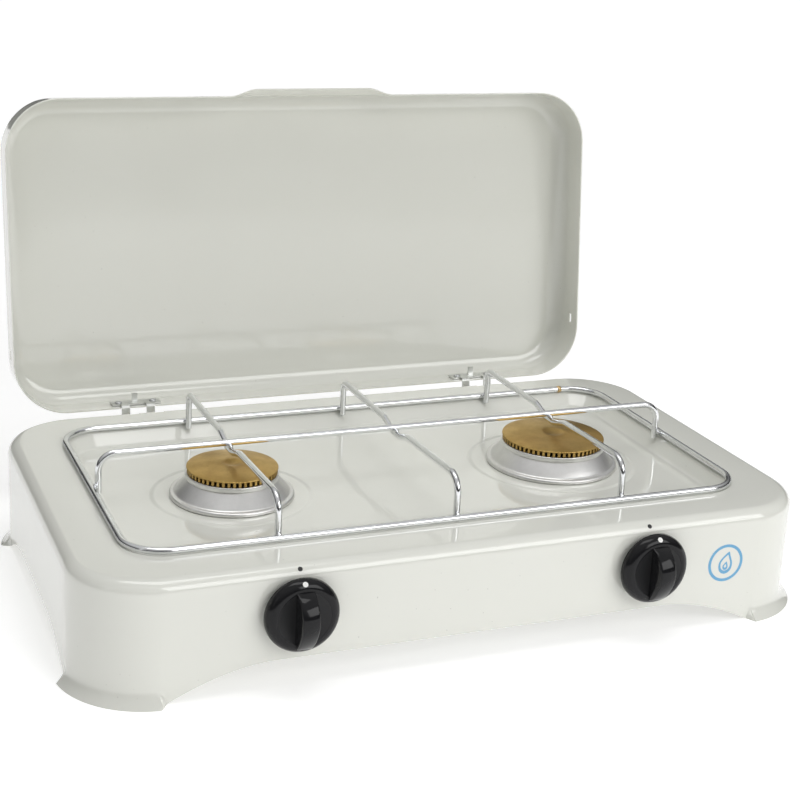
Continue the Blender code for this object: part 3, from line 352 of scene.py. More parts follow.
# %% Tools: outlines, skins, turned solids, wires
def spread(low, high, steps):
    return [low + (high - low) * k / steps for k in range(steps + 1)]


def arc_points(centre, radius, start, end, steps):
    return [(centre[0] + radius * math.cos(math.radians(a)),
             centre[1] + radius * math.sin(math.radians(a))) for a in spread(start, end, steps)]


def outline(half, corner, x_stops, y_stops, plans):
    """Points round a rectangle with round corners, from the middle of the front on."""
    straight = (half[0] - corner, half[1] - corner)
    points = [(straight[0] * share, -half[1]) for share in x_stops]
    for turn, (cx, cy) in enumerate(((1, -1), (1, 1), (-1, 1), (-1, -1))):
        for degrees in plans[turn]:
            angle = math.radians(-90 + 90 * turn + degrees)
            points.append((cx * straight[0] + corner * math.cos(angle),
                           cy * straight[1] + corner * math.sin(angle)))
        if turn == 0:
            points += [(half[0], straight[1] * share) for share in y_stops]
        elif turn == 1:
            points += [(-straight[0] * share, half[1]) for share in x_stops]
        elif turn == 2:
            points += [(-half[0], -straight[1] * share) for share in y_stops]
    return points


def mesh_from(bm, name):
    bmesh.ops.recalc_face_normals(bm, faces=bm.faces)
    mesh = bpy.data.meshes.new(name)
    bm.to_mesh(mesh)
    bm.free()
    return mesh


def skin(name, loops, closed=False):
    """Joins rings with the same number of points; open stacks get end caps."""
    bm = bmesh.new()
    rings = [[bm.verts.new(point) for point in loop] for loop in loops]
    count = len(rings[0])
    pairs = list(zip(rings, rings[1:])) + ([(rings[-1], rings[0])] if closed else [])
    for lower, upper in pairs:
        for i in range(count):
            j = (i + 1) % count
            bm.faces.new((lower[i], lower[j], upper[j], upper[i]))
    if not closed:
        bm.faces.new(rings[0])
        bm.faces.new(list(reversed(rings[-1])))
    return mesh_from(bm, name)


def turned(name, profile, steps=96, closed=False):
    """A turned solid about +Z from (radius, height) points; radius 0 makes a pole."""
    bm = bmesh.new()
    rings = []
    for radius, height in profile:
        angles = [0.0] if radius == 0 else [2 * math.pi * i / steps for i in range(steps)]
        rings.append([bm.verts.new((radius * math.cos(a), radius * math.sin(a), height))
                      for a in angles])
    pairs = list(zip(rings, rings[1:])) + ([(rings[-1], rings[0])] if closed else [])
    for lower, upper in pairs:
        if len(lower) == 1 and len(upper) == 1:
            continue
        for i in range(steps):
            j = (i + 1) % steps
            if len(lower) == 1:
                bm.faces.new((lower[0], upper[j], upper[i]))
            elif len(upper) == 1:
                bm.faces.new((lower[i], lower[j], upper[0]))
            else:
                bm.faces.new((lower[i], lower[j], upper[j], upper[i]))
    return mesh_from(bm, name)


def box_mesh(name, low, high):
    loops = [[(low[0], low[1], z), (high[0], low[1], z), (high[0], high[1], z),
              (low[0], high[1], z)] for z in (low[2], high[2])]
    return skin(name, loops)


def rounded_path(corners, radii, steps=14):
    """A path through corner points with each inner corner turned into an arc."""
    corners = [Vector(corner) for corner in corners]
    points = [corners[0]]
    for before, corner, after, radius in zip(corners, corners[1:], corners[2:], radii):
        back = (before - corner).normalized()
        on = (after - corner).normalized()
        half = back.angle(on) / 2
        centre = corner + (back + on).normalized() * (radius / math.sin(half))
        start = corner + back * (radius / math.tan(half)) - centre
        end = corner + on * (radius / math.tan(half)) - centre
        sweep = start.angle(end)
        for share in spread(0.0, 1.0, steps):
            mix = start * math.sin((1 - share) * sweep) + end * math.sin(share * sweep)
            points.append(centre + mix / math.sin(sweep))
    points.append(corners[-1])
    return points


def link(name, data):
    thing = bpy.data.objects.new(name, data)
    bpy.context.scene.collection.objects.link(thing)
    return thing


def baked(thing, angle=32.0):
    """The object with its modifiers applied, smooth apart from its sharp edges."""
    bpy.context.view_layer.update()
    graph = bpy.context.evaluated_depsgraph_get()
    mesh = bpy.data.meshes.new_from_object(thing.evaluated_get(graph))
    name = thing.name
    bpy.data.objects.remove(thing, do_unlink=True)
    mesh.name = name
    mesh.shade_smooth()
    mesh.set_sharp_from_angle(angle=math.radians(angle))
    return link(name, mesh)


def drilled(name, mesh, cutters, angle):
    """A solid less its cutters."""
    thing = link(name, mesh)
    tools = []
    for number, cutter in enumerate(cutters):
        tool = link(f"{name}_cutter_{number}", cutter)
        tools.append(tool)
        change = thing.modifiers.new(f"cut_{number}", "BOOLEAN")
        change.operation = "DIFFERENCE"
        change.solver = "EXACT"
        change.object = tool
    thing = baked(thing, angle)
    for tool in tools:
        bpy.data.objects.remove(tool, do_unlink=True)
    return thing


def wire(name, points, radius, cyclic=False):
    """A round wire along a path, with closed ends."""
    curve = bpy.data.curves.new(name, "CURVE")
    curve.dimensions = "3D"
    curve.bevel_depth = radius
    curve.bevel_resolution = 6
    curve.use_fill_caps = True
    curve.twist_mode = "MINIMUM"
    spline = curve.splines.new("POLY")
    spline.points.add(len(points) - 1)
    for target, point in zip(spline.points, points):
        target.co = (*point, 1.0)
    spline.use_cyclic_u = cyclic
    return baked(link(name, curve), 50.0)


def joined(name, meshes, angle=32.0):
    """Several closed shells as one mesh."""
    bm = bmesh.new()
    for mesh in meshes:
        bm.from_mesh(mesh)
    whole = bpy.data.meshes.new(name)
    bm.to_mesh(whole)
    bm.free()
    whole.shade_smooth()
    whole.set_sharp_from_angle(angle=math.radians(angle))
    return link(name, whole)


def dress(thing, look, body, replaces=()):
    """Gives a piece its finish, its body and the working parts it stands for."""
    if thing.data.materials:
        thing.data.materials.clear()
    thing.data.materials.append(LOOK[look])
    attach(thing, body)
    if replaces:
        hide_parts(*replaces)
    made.append(thing.name)


def y_cylinder(name, radius, x, y_low, y_high, z, steps=32):
    mesh = turned(name, [(0, y_low), (radius, y_low), (radius, y_high), (0, y_high)], steps)
    mesh.transform(Matrix.Translation((x, 0, z)) @ Matrix.Rotation(math.radians(-90), 4, "X"))
    return mesh


made = []
print("tools ready")


# %% [markdown]
# ## Repeating details
# Teeth, rivets and weld beads are placed by Geometry Nodes trees with named inputs and a
# fixed seed, then baked.

# %% Repeating details: the node trees
def new_tree(name, inputs):
    tree = bpy.data.node_groups.new(name, "GeometryNodeTree")
    tree.interface.new_socket("Geometry", in_out="INPUT", socket_type="NodeSocketGeometry")
    for label, kind in inputs:
        tree.interface.new_socket(label, in_out="INPUT", socket_type=f"NodeSocket{kind}")
    tree.interface.new_socket("Geometry", in_out="OUTPUT", socket_type="NodeSocketGeometry")
    return tree, tree.nodes.new("NodeGroupInput"), tree.nodes.new("NodeGroupOutput")


def tooth_ring_tree():
    """Blocks set round a circle, each turned to face outwards."""
    tree, source, sink = new_tree("tooth_ring", [
        ("Count", "Int"), ("Radius", "Float"), ("Tooth Size", "Vector"), ("Height", "Float"),
        ("Wear", "Float"), ("Seed", "Int"), ("Material", "Material")])
    to = tree.links.new
    circle = tree.nodes.new("GeometryNodeMeshCircle")
    to(source.outputs["Count"], circle.inputs["Vertices"])
    to(source.outputs["Radius"], circle.inputs["Radius"])
    tooth = tree.nodes.new("GeometryNodeMeshCube")
    to(source.outputs["Tooth Size"], tooth.inputs["Size"])
    index = tree.nodes.new("GeometryNodeInputIndex")
    turn = tree.nodes.new("ShaderNodeMath")
    turn.operation = "DIVIDE"
    to(index.outputs[0], turn.inputs[0])
    to(source.outputs["Count"], turn.inputs[1])
    angle = tree.nodes.new("ShaderNodeMath")
    angle.operation = "MULTIPLY"
    angle.inputs[1].default_value = 2 * math.pi
    to(turn.outputs[0], angle.inputs[0])
    rotation = tree.nodes.new("ShaderNodeCombineXYZ")
    to(angle.outputs[0], rotation.inputs["Z"])
    wear = tree.nodes.new("FunctionNodeRandomValue")
    wear.data_type = "FLOAT"
    wear.inputs[2].default_value = 1.0
    to(source.outputs["Wear"], wear.inputs[3])
    to(source.outputs["Seed"], wear.inputs["Seed"])
    size = tree.nodes.new("ShaderNodeCombineXYZ")
    size.inputs[0].default_value = 1.0
    size.inputs[2].default_value = 1.0
    to(wear.outputs[1], size.inputs[1])
    place = tree.nodes.new("GeometryNodeInstanceOnPoints")
    to(circle.outputs["Mesh"], place.inputs["Points"])
    to(tooth.outputs["Mesh"], place.inputs["Instance"])
    to(rotation.outputs[0], place.inputs["Rotation"])
    to(size.outputs[0], place.inputs["Scale"])
    lift = tree.nodes.new("ShaderNodeCombineXYZ")
    to(source.outputs["Height"], lift.inputs["Z"])
    move = tree.nodes.new("GeometryNodeTransform")
    to(place.outputs[0], move.inputs["Geometry"])
    to(lift.outputs[0], move.inputs["Translation"])
    finish_tree(tree, move.outputs[0], source, sink)
    return tree


def bead_tree():
    """Flattened balls at the given points: rivet heads, set heads and weld beads."""
    tree, source, sink = new_tree("beads", [
        ("Size", "Vector"), ("Unevenness", "Float"), ("Seed", "Int"), ("Material", "Material")])
    to = tree.links.new
    ball = tree.nodes.new("GeometryNodeMeshUVSphere")
    ball.inputs["Segments"].default_value = 28
    ball.inputs["Rings"].default_value = 16
    ball.inputs["Radius"].default_value = 1.0
    spread_node = tree.nodes.new("FunctionNodeRandomValue")
    spread_node.data_type = "FLOAT"
    spread_node.inputs[2].default_value = 1.0
    to(source.outputs["Unevenness"], spread_node.inputs[3])
    to(source.outputs["Seed"], spread_node.inputs["Seed"])
    size = tree.nodes.new("ShaderNodeVectorMath")
    size.operation = "SCALE"
    to(source.outputs["Size"], size.inputs[0])
    to(spread_node.outputs[1], size.inputs["Scale"])
    place = tree.nodes.new("GeometryNodeInstanceOnPoints")
    to(source.outputs["Geometry"], place.inputs["Points"])
    to(ball.outputs["Mesh"], place.inputs["Instance"])
    to(size.outputs[0], place.inputs["Scale"])
    finish_tree(tree, place.outputs[0], source, sink)
    return tree


def finish_tree(tree, geometry, source, sink):
    real = tree.nodes.new("GeometryNodeRealizeInstances")
    paint = tree.nodes.new("GeometryNodeSetMaterial")
    tree.links.new(geometry, real.inputs[0])
    tree.links.new(real.outputs[0], paint.inputs["Geometry"])
    tree.links.new(source.outputs["Material"], paint.inputs["Material"])
    tree.links.new(paint.outputs[0], sink.inputs[0])


def grown(name, mesh, tree, values):
    """Runs a node tree on a mesh and bakes the result."""
    thing = link(name, mesh)
    change = thing.modifiers.new(tree.name, "NODES")
    change.node_group = tree
    for item in tree.interface.items_tree:
        if item.in_out == "INPUT" and item.name in values:
            change[item.identifier] = values[item.name]
    return baked(thing)


def points_mesh(name, points):
    mesh = bpy.data.meshes.new(name)
    mesh.from_pydata(points, [], [])
    return mesh


TEETH = tooth_ring_tree()
BEADS = bead_tree()
print("node trees:", TEETH.name, BEADS.name)


# %% [markdown]
# ## Body
# One enamelled pressing: walls on four flared feet, a soft shoulder, a sunk tray, and
# holes for the burners, taps, hinge arms and gas inlet.

# %% Body: the pressing
def wall_height(x, y):
    """Height of the wall's lower edge, and whether it is on a foot."""
    on_front = abs(y) > BODY_HALF[1] - BODY_CORNER * 0.3
    arch, along = (FRONT_ARCH, abs(x)) if on_front else (SIDE_ARCH, abs(y))
    share = min(max((along - arch[0]) / (arch[1] - arch[0]), 0.0), 1.0)
    is_foot = abs(x) > FOOT_FROM[0] and abs(y) > FOOT_FROM[1]
    return APRON_HEIGHT * (1 - share ** 1.8), is_foot


def body_rings(offset):
    straight = (BODY_HALF[0] - BODY_CORNER, BODY_HALF[1] - BODY_CORNER)
    half_x = spread(0.60, 0.99, 22)
    x_stops = [-v for v in reversed(half_x)] + half_x
    half_y = spread(0.40, 0.97, 16)
    y_stops = [-v for v in reversed(half_y)] + half_y
    foot_x = math.degrees(math.asin((FOOT_FROM[0] - straight[0]) / BODY_CORNER))
    foot_y = math.degrees(math.asin((FOOT_FROM[1] - straight[1]) / BODY_CORNER))
    plan = [0, foot_x * 0.98, foot_x * 1.02 + 0.6]
    last = [90 - foot_y * 1.02 - 0.6, 90 - foot_y * 0.98, 90]
    plan += spread(plan[-1], last[0], 26)[1:-1] + last
    other = [90 - degrees for degrees in reversed(plan)]
    plans = (plan, other, plan, other)

    def ring(inset, height_of, corner, flare=0.0):
        half = (BODY_HALF[0] - inset, BODY_HALF[1] - inset)
        middle = (half[0] - corner, half[1] - corner)
        points = []
        for x, y in outline(half, corner, x_stops, y_stops, plans):
            low, is_foot = wall_height(x * BODY_HALF[0] / half[0], y * BODY_HALF[1] / half[1])
            push = Vector((x - math.copysign(middle[0], x), y - math.copysign(middle[1], y)))
            push = push.normalized() * flare if is_foot and flare else Vector((0, 0))
            points.append((x + push.x, y + push.y, height_of(low)))
        return points

    rings = []
    for rise in (0.0, 0.06, 0.14, 0.24, 0.36, 0.5, 0.66, 0.83, 1.0):
        rings.append(ring(offset, lambda low, r=rise: low + LIP_HEIGHT * r,
                          BODY_CORNER - offset, LIP_FLARE * (1 - rise) ** 2))
    slope = 45.0
    drop = 1 - math.cos(math.radians(slope))
    run = BODY_TOP - TRAY_FLOOR - (TRAY_EDGE_ROUND + TRAY_FLOOR_ROUND) * drop
    sine = math.sin(math.radians(slope))
    floor_centre = TOP_MARGIN + (TRAY_EDGE_ROUND + TRAY_FLOOR_ROUND) * sine + run
    for inset, height in arc_points((SHOULDER, BODY_TOP - SHOULDER), SHOULDER - offset,
                                    180, 90, 14):
        rings.append(ring(inset, lambda low, h=height: h, BODY_CORNER - inset))
    edge = arc_points((TOP_MARGIN, BODY_TOP - TRAY_EDGE_ROUND), TRAY_EDGE_ROUND - offset,
                      90, slope, 8)
    floor = arc_points((floor_centre, TRAY_FLOOR + TRAY_FLOOR_ROUND),
                       TRAY_FLOOR_ROUND + offset, 180 + slope, 270, 8)
    for inset, height in edge + floor:
        rings.append(ring(inset, lambda low, h=height: h, TRAY_CORNER - (inset - TOP_MARGIN)))
    return rings


def slot_bottom():
    swing = math.radians(-LID_SWING)
    leg = Vector((0.9 * MM, BODY_TOP - HINGE_Z))
    drop = leg.x * math.sin(swing) + leg.y * math.cos(swing)
    run = leg.x * math.cos(swing) - leg.y * math.sin(swing)
    return HINGE_Z + drop / run * (BODY_HALF[1] - HINGE_Y) - 1.1 * MM


def make_body():
    cutters = []
    wall = BODY_HALF[1]
    for side, sign in SIDES:
        hole = turned("throat", [(0, 0), (THROAT_OUT + 2 * GAP, 0),
                                 (THROAT_OUT + 2 * GAP, 10 * MM), (0, 10 * MM)], 64)
        hole.transform(Matrix.Translation((sign * BURNER_X, BURNER_Y, TRAY_FLOOR - 5 * MM)))
        cutters.append(hole)
        cutters.append(y_cylinder("tap", TAP_HOLE, sign * BURNER_X, -wall - 4 * MM,
                                  -wall + 4 * MM, TAP_HEIGHT))
        for arm in (-1, 1):
            middle = sign * HINGE_X + arm * ARM_OFFSET
            cutters.append(box_mesh("slot", (middle - ARM_HALF, HINGE_Y - 1.4 * MM, slot_bottom()),
                                    (middle + ARM_HALF, wall + 5 * MM, BODY_TOP + 5 * MM)))
    cutters.append(y_cylinder("inlet", INLET_HOLE, INLET_X, wall - 4 * MM, wall + 4 * MM,
                              INLET_HEIGHT))
    mesh = skin("enamel_body", body_rings(0.0)[::-1] + body_rings(SHEET))
    return drilled("enamel_body", mesh, cutters, angle=40.0)


dress(make_body(), "body", "stove", ["body_shell"])


# %% [markdown]
# ## Lid
# A shallow pressing with a finger lip at the front, drawn shut and swung open about the
# hinge axis.

# %% Lid: the pressing
def lid_rings(offset):
    straight = LID_HALF_X - LID_CORNER
    near = spread(FINGER_HALF[0], FINGER_HALF[1], 14)
    x_stops = [-v / straight for v in reversed(near)] + [v / straight for v in near]
    arcs = spread(0, 90, 28)

    def ring(inset, height, bulge):
        half = (LID_HALF_X - inset, LID_LENGTH / 2 - inset)
        points = []
        for x, y in outline(half, LID_CORNER - inset, x_stops, [], [arcs] * 4):
            share = (FINGER_HALF[1] - abs(x)) / (FINGER_HALF[1] - FINGER_HALF[0])
            share = min(max(share, 0.0), 1.0)
            push = bulge * share * share * (3 - 2 * share) if y < -half[1] + 1e-6 else 0.0
            points.append((x, y - push + LID_MIDDLE_Y, height))
        return points

    rings = []
    for rise in (0.0, 0.7, 1.5, 2.6, 4.0, 5.5, 7.2, 9.0, 11.0):
        keep = max(0.0, 1 - rise / 10.0)
        rings.append(ring(offset, LID_RIM + rise * MM, FINGER_LIP * keep ** 1.8))
    top = LID_RIM + LID_DEPTH - LID_FILLET
    for inset, height in arc_points((LID_FILLET, top), LID_FILLET - offset, 180, 90, 18):
        rings.append(ring(inset, height, 0.0))
    return rings


def make_lid():
    cutters = []
    for side, sign in SIDES:
        for arm in (-1, 1):
            middle = sign * HINGE_X + arm * ARM_OFFSET
            cutters.append(box_mesh("notch", (middle - ARM_HALF, LID_BACK_Y - 4 * MM,
                                              LID_RIM - 2 * MM),
                                    (middle + ARM_HALF, LID_BACK_Y + 2 * MM,
                                     BODY_TOP + 2.8 * MM)))
        slot_y = LID_BACK_Y - 42 * MM
        wall = sign * LID_HALF_X
        cutters.append(box_mesh("side_slot", (wall - 6 * MM, slot_y - 3.4 * MM,
                                              LID_RIM + 9.2 * MM),
                                (wall + 6 * MM, slot_y + 3.4 * MM, LID_RIM + 12 * MM)))
    mesh = skin("enamel_lid", lid_rings(0.0)[::-1] + lid_rings(LID_SHEET))
    lid = drilled("enamel_lid", mesh, cutters, angle=40.0)
    lid.data.transform(OPEN_LID)
    return lid


dress(make_lid(), "lid", "lid", ["lid"])


# %% [markdown]
# ## Pan support
# A closed frame wire, one transverse bar and three cross bars that dip under it, held
# together by small weld beads.

# %% Pan support: wires and welds
def make_pan_support():
    arcs = spread(0, 90, 20)
    loop = outline(FRAME_HALF, FRAME_CORNER, [-0.6, 0.0, 0.6], [-0.5, 0.0, 0.5], [arcs] * 4)
    part = wire("chrome_frame_wire", [(x, y, FRAME_HEIGHT) for x, y in loop], WIRE, True)
    dress(part, "chrome", "pan_support", ["frame_wire"])

    foot = FRAME_HEIGHT - POST_TAIL
    top = FRAME_HEIGHT + POST_MIDDLE
    reach = FRAME_HALF[0] - POST_INSET
    path = rounded_path([(-reach, 0, foot), (-reach, 0, top), (reach, 0, top),
                         (reach, 0, foot)], [11 * MM, 11 * MM])
    dress(wire("chrome_transverse_wire", path, WIRE), "chrome", "pan_support",
          ["transverse_wire"])

    depth = FRAME_HALF[1] - POST_INSET
    dip = top - 2 * WIRE - GAP
    flat = 2.8 * WIRE
    for name, x in (("left", -BURNER_X), ("middle", 0.0), ("right", BURNER_X)):
        path = rounded_path(
            [(x, depth, foot), (x, depth, FRAME_HEIGHT + POST_BACK), (x, JOGGLE_REACH, top),
             (x, flat, dip), (x, -flat, dip), (x, -JOGGLE_REACH, top),
             (x, -depth, FRAME_HEIGHT + POST_FRONT), (x, -depth, foot)],
            [6 * MM, 12 * MM, 6 * MM, 6 * MM, 12 * MM, 11 * MM])
        dress(wire(f"chrome_cross_wire_{name}", path, WIRE), "chrome", "pan_support",
              [f"cross_wire_{name}"])

    inside = POST_INSET / 2
    crossings = [(x, 0, top - WIRE - GAP / 2) for x in (-BURNER_X, 0.0, BURNER_X)]
    feet_y = [(x, sign * (FRAME_HALF[1] - inside), FRAME_HEIGHT)
              for x in (-BURNER_X, 0.0, BURNER_X) for sign in (-1, 1)]
    feet_x = [(sign * (FRAME_HALF[0] - inside), 0, FRAME_HEIGHT) for sign in (-1, 1)]
    for name, points, size in (
            ("weld_crossings", crossings, (1.9 * MM, 1.9 * MM, 0.9 * MM)),
            ("weld_feet_long", feet_y, (1.9 * MM, 0.9 * MM, 2.0 * MM)),
            ("weld_feet_short", feet_x, (0.9 * MM, 1.9 * MM, 2.0 * MM)),
            ("weld_butt_joint", [(174.5 * MM, FRAME_HALF[1], FRAME_HEIGHT)],
             (2.6 * MM, 2.3 * MM, 2.3 * MM))):
        part = grown(name, points_mesh(name, points), BEADS,
                     {"Size": size, "Unevenness": 1.12, "Seed": 4, "Material": LOOK["chrome"]})
        look = "fitting" if name == "weld_butt_joint" else "chrome"
        dress(part, look, "pan_support")


make_pan_support()
print("pan support:", [name for name in made if "wire" in name or "weld" in name])


# %% [markdown]
# ## Burners
# A turned aluminium base with a seat rim and cone, and a loose brass cap whose lower
# edge is a ring of teeth with the flame ports between them.

# %% Burners: bases and caps
def make_burner(side, sign):
    place = Matrix.Translation((sign * BURNER_X, BURNER_Y, 0))
    wide = BASE_RADIUS[side]
    crown = CAP_RADIUS[side] + 0.6 * MM
    cone = []
    for share in spread(0.0, 1.0, 12):
        bow = math.sin(math.pi * share) * 0.7 * MM
        cone.append((wide - 3.2 * MM + (crown - 1.1 * MM - wide + 3.2 * MM) * share + bow,
                     RIM_TOP + 0.5 * MM + (CONE_TOP - RIM_TOP - 0.7 * MM) * share - bow))
    rim = arc_points((wide - 1.3 * MM, RIM_TOP - 1.3 * MM), 1.3 * MM, 0, 90, 8)
    lip = arc_points((crown - 0.7 * MM, BASE_TOP - 0.7 * MM), 0.7 * MM, 0, 90, 6)
    base = turned(f"turned_base_{side}", [
        (THROAT_OUT, SEAT - 7.6 * MM), (THROAT_OUT, SEAT), (wide - 0.4 * MM, SEAT),
        (wide, SEAT + 0.4 * MM), *rim, (wide - 2.2 * MM, RIM_TOP), (wide - 2.7 * MM,
                                                                   RIM_TOP + 0.1 * MM),
        *cone, (crown - 0.3 * MM, CONE_TOP + 0.1 * MM), (crown, CONE_TOP + 0.5 * MM), *lip,
        (crown - 3.0 * MM, BASE_TOP), (crown - 3.4 * MM, CONE_TOP),
        (THROAT_OUT, SEAT + 2.4 * MM), (THROAT + 0.6 * MM, SEAT + 1.2 * MM),
        (THROAT, SEAT + 0.4 * MM), (THROAT, SEAT - 7.6 * MM)], 128, closed=True)
    base.transform(place)
    dress(joined(f"turned_base_{side}", [base]), "aluminium", "stove",
          [f"burner_base_{side}"])

    radius = CAP_RADIUS[side]
    edge_top = CAP_BOTTOM + CAP_EDGE
    tooth_top = CAP_BOTTOM + CAP_EDGE * 0.76
    dome = []
    for share in spread(0.0, 1.0, 22):
        r = (radius - 0.5 * MM) * (1 - share)
        rise = CAP_CROWN * (1 - (r / radius) ** 2) ** 0.8
        dip = 1.2 * MM * max(0.0, 1 - (r / (radius * 0.22)) ** 2)
        dome.append((r, edge_top + rise - dip))
    under = [(0, edge_top - 0.2 * MM), (radius * 0.5, edge_top - 0.2 * MM),
             (radius - 4.2 * MM, tooth_top + 0.4 * MM), (radius - 3.4 * MM, tooth_top)]
    side_round = arc_points((radius - 0.5 * MM, edge_top - 0.5 * MM), 0.5 * MM, 0, 90, 6)
    cap = turned("cap", [*under, (radius - 0.2 * MM, tooth_top), (radius, tooth_top + 0.2 * MM),
                         *side_round, *dome[1:]], 128)
    cap.transform(place)
    dress(joined(f"brass_cap_{side}", [cap]), "cap", f"cap_{side}",
          [f"burner_cap_{side}"])
    count = {"left": 52, "right": 62}[side]
    pitch = 2 * math.pi * (radius - 1.6 * MM) / count
    height = tooth_top - CAP_BOTTOM + 0.3 * MM
    teeth = grown(f"cap_teeth_{side}", points_mesh("seed", [(0, 0, 0)]), TEETH, {
        "Count": count, "Radius": radius - 2.0 * MM,
        "Tooth Size": (3.2 * MM, pitch * 0.52, height), "Height": CAP_BOTTOM + height / 2,
        "Wear": 0.93, "Seed": 11, "Material": LOOK["cap"]})
    teeth.data.transform(place)
    dress(teeth, "cap", f"cap_{side}")


for side, sign in SIDES:
    make_burner(side, sign)
print("burners:", [name for name in made if "base" in name or "cap" in name])


# %% [markdown]
# ## Knobs and printed marks
# Black knobs with a skirt and a grip bar, a white dot on each, black dots on the body
# above them, and a small round flame mark at the front right.

# %% Knobs and marks
def grip_profile(face, front):
    """The grip seen from the side: low at its ends and highest a little above the middle."""
    half = KNOB_RADIUS - 3.0 * MM
    points = [(face + 2.2 * MM, half - 2.6 * MM)]
    for share in spread(0.0, 1.0, 40):
        z = half - 3.0 * MM - (2 * half - 3.2 * MM) * share
        rise = math.sin(math.pi * share ** 0.8) ** 0.75
        points.append((face + 1.0 * MM + (front - face - 1.0 * MM) * rise, z))
    points.append((face + 2.2 * MM, -half))
    return points


def make_knob(side, sign):
    half = KNOB_RADIUS - 3.0 * MM
    back = KNOB_BACK
    front = back - KNOB_DEPTH
    face = back - 8.0 * MM
    slope = arc_points((KNOB_RADIUS - 5.4 * MM, back - 1.6 * MM), 5.4 * MM, 0, 90, 14)
    skirt = [(KNOB_RADIUS - 2 * MM, back), (KNOB_RADIUS - 0.3 * MM, back),
             (KNOB_RADIUS, back - 0.3 * MM)]
    skirt += [(r, 2 * (back - 1.6 * MM) - y) for r, y in slope]
    profile = skirt + [(KNOB_RADIUS - 6.0 * MM, face + 0.9 * MM),
                       (KNOB_RADIUS - 6.4 * MM, face + 1.1 * MM), (0, face + 1.1 * MM)]
    profile += [(0, back - 5.6 * MM), (3.3 * MM, back - 5.6 * MM), (3.3 * MM, back - 2.4 * MM),
                (6.5 * MM, back - 2.4 * MM), (6.5 * MM, back - 5.4 * MM),
                (KNOB_RADIUS - 7 * MM, back - 5.4 * MM), (KNOB_RADIUS - 2 * MM, back - 3 * MM)]
    skirt_mesh = turned("skirt", profile, 128, closed=True)
    skirt_mesh.transform(Matrix.Rotation(math.radians(-90), 4, "X"))
    profile = grip_profile(face, front)
    loops = []
    for x, inset in ((-1.0, 0.9), (-0.93, 0.3), (-0.8, 0.0), (0.0, -0.1), (0.8, 0.0),
                     (0.93, 0.3), (1.0, 0.9)):
        ring = []
        for y, z in profile:
            narrow = 1.0 - 0.16 * max(0.0, min(1.0, -z / half))
            ring.append((x * GRIP_HALF * narrow, min(y + inset * MM, face + 2.2 * MM), z))
        loops.append(ring)
    knob = joined(f"moulded_knob_{side}", [skirt_mesh, skin("grip", loops)], 40.0)
    place = Matrix.Translation((sign * BURNER_X, 0, TAP_HEIGHT))
    knob.data.transform(place)
    dress(knob, "knob", f"knob_{side}", [f"knob_{side}"])
    angle = math.radians(48)
    reach = KNOB_RADIUS - 5.4 * MM + 5.42 * MM * math.cos(angle)
    depth = back - 1.6 * MM - 5.42 * MM * math.sin(angle)
    dot = turned("dot", [(0, 0), (1.6 * MM, 0), (1.55 * MM, 0.08 * MM), (0, 0.1 * MM)], 40)
    dot.transform(place @ Matrix.Translation((0, depth, reach))
                  @ Matrix.Rotation(angle, 4, "X"))
    dress(joined(f"knob_dot_{side}", [dot]), "white_ink", f"knob_{side}")


def make_index_dot(side, sign):
    """A round printed dot that follows the shoulder's curve."""
    radius = 1.4 * MM
    bend = math.radians(44.4)
    bm = bmesh.new()
    layers = []
    for lift in (0.06 * MM, -0.1 * MM):
        rings = []
        for share in (0.0, 0.5, 1.0):
            angles = [0.0] if share == 0 else [2 * math.pi * i / 40 for i in range(40)]
            ring = []
            for a in angles:
                x = sign * INDEX_DOT_X + radius * share * math.cos(a)
                tilt = bend + radius * share * math.sin(a) / SHOULDER
                out = SHOULDER + lift
                ring.append(bm.verts.new((x, -BODY_HALF[1] + SHOULDER - out * math.cos(tilt),
                                          BODY_TOP - SHOULDER + out * math.sin(tilt))))
            rings.append(ring)
        layers.append(rings)
    for rings in layers:
        for i in range(40):
            j = (i + 1) % 40
            bm.faces.new((rings[0][0], rings[1][i], rings[1][j]))
            bm.faces.new((rings[1][i], rings[2][i], rings[2][j], rings[1][j]))
    for i in range(40):
        j = (i + 1) % 40
        bm.faces.new((layers[0][2][i], layers[1][2][i], layers[1][2][j], layers[0][2][j]))
    mesh = mesh_from(bm, f"index_dot_{side}")
    dress(joined(f"index_dot_{side}", [mesh]), "black_ink", "stove")


def band(name, outer, inner):
    """A thin printed band between two outlines with as many points each."""
    wall = -BODY_HALF[1]
    loops = []
    for ring, y in ((outer, wall + 0.1 * MM), (outer, wall - 0.06 * MM),
                    (inner, wall - 0.06 * MM), (inner, wall + 0.1 * MM)):
        loops.append([(x, y, z) for x, z in ring])
    return skin(name, loops, closed=True)


def flame_outline(scale, centre):
    """A plain flame: round below, pulled to a leaning tip above."""
    points = []
    for k in range(96):
        t = 2 * math.pi * k / 96
        width = 4.3 * MM * scale * math.sin(t) * (1 - 0.35 * (1 - math.cos(t)) / 2)
        height = -5.4 * MM * scale * math.cos(t)
        pull = max(0.0, height / (5.4 * MM * scale))
        width *= 1 - 0.55 * pull ** 1.5
        points.append((centre[0] + width + 1.5 * MM * scale * pull ** 2, centre[1] + height))
    return points


def make_flame_mark():
    ring = [arc_points(MARK_CENTRE, r, 0, 360, 120)[:-1] for r in MARK_RING]
    low = (MARK_CENTRE[0], MARK_CENTRE[1] - 2.0 * MM)
    flames = [flame_outline(scale, MARK_CENTRE) for scale in (1.36, 0.96)]
    small = [flame_outline(scale, low) for scale in (0.52, 0.22)]
    mark = joined("flame_mark", [band("ring", *ring), band("flame", *flames),
                                 band("small", *small)])
    dress(mark, "blue_ink", "stove")


for side, sign in SIDES:
    make_knob(side, sign)
    make_index_dot(side, sign)
make_flame_mark()
print("front:", [name for name in made if "knob" in name or "dot" in name or "mark" in name])


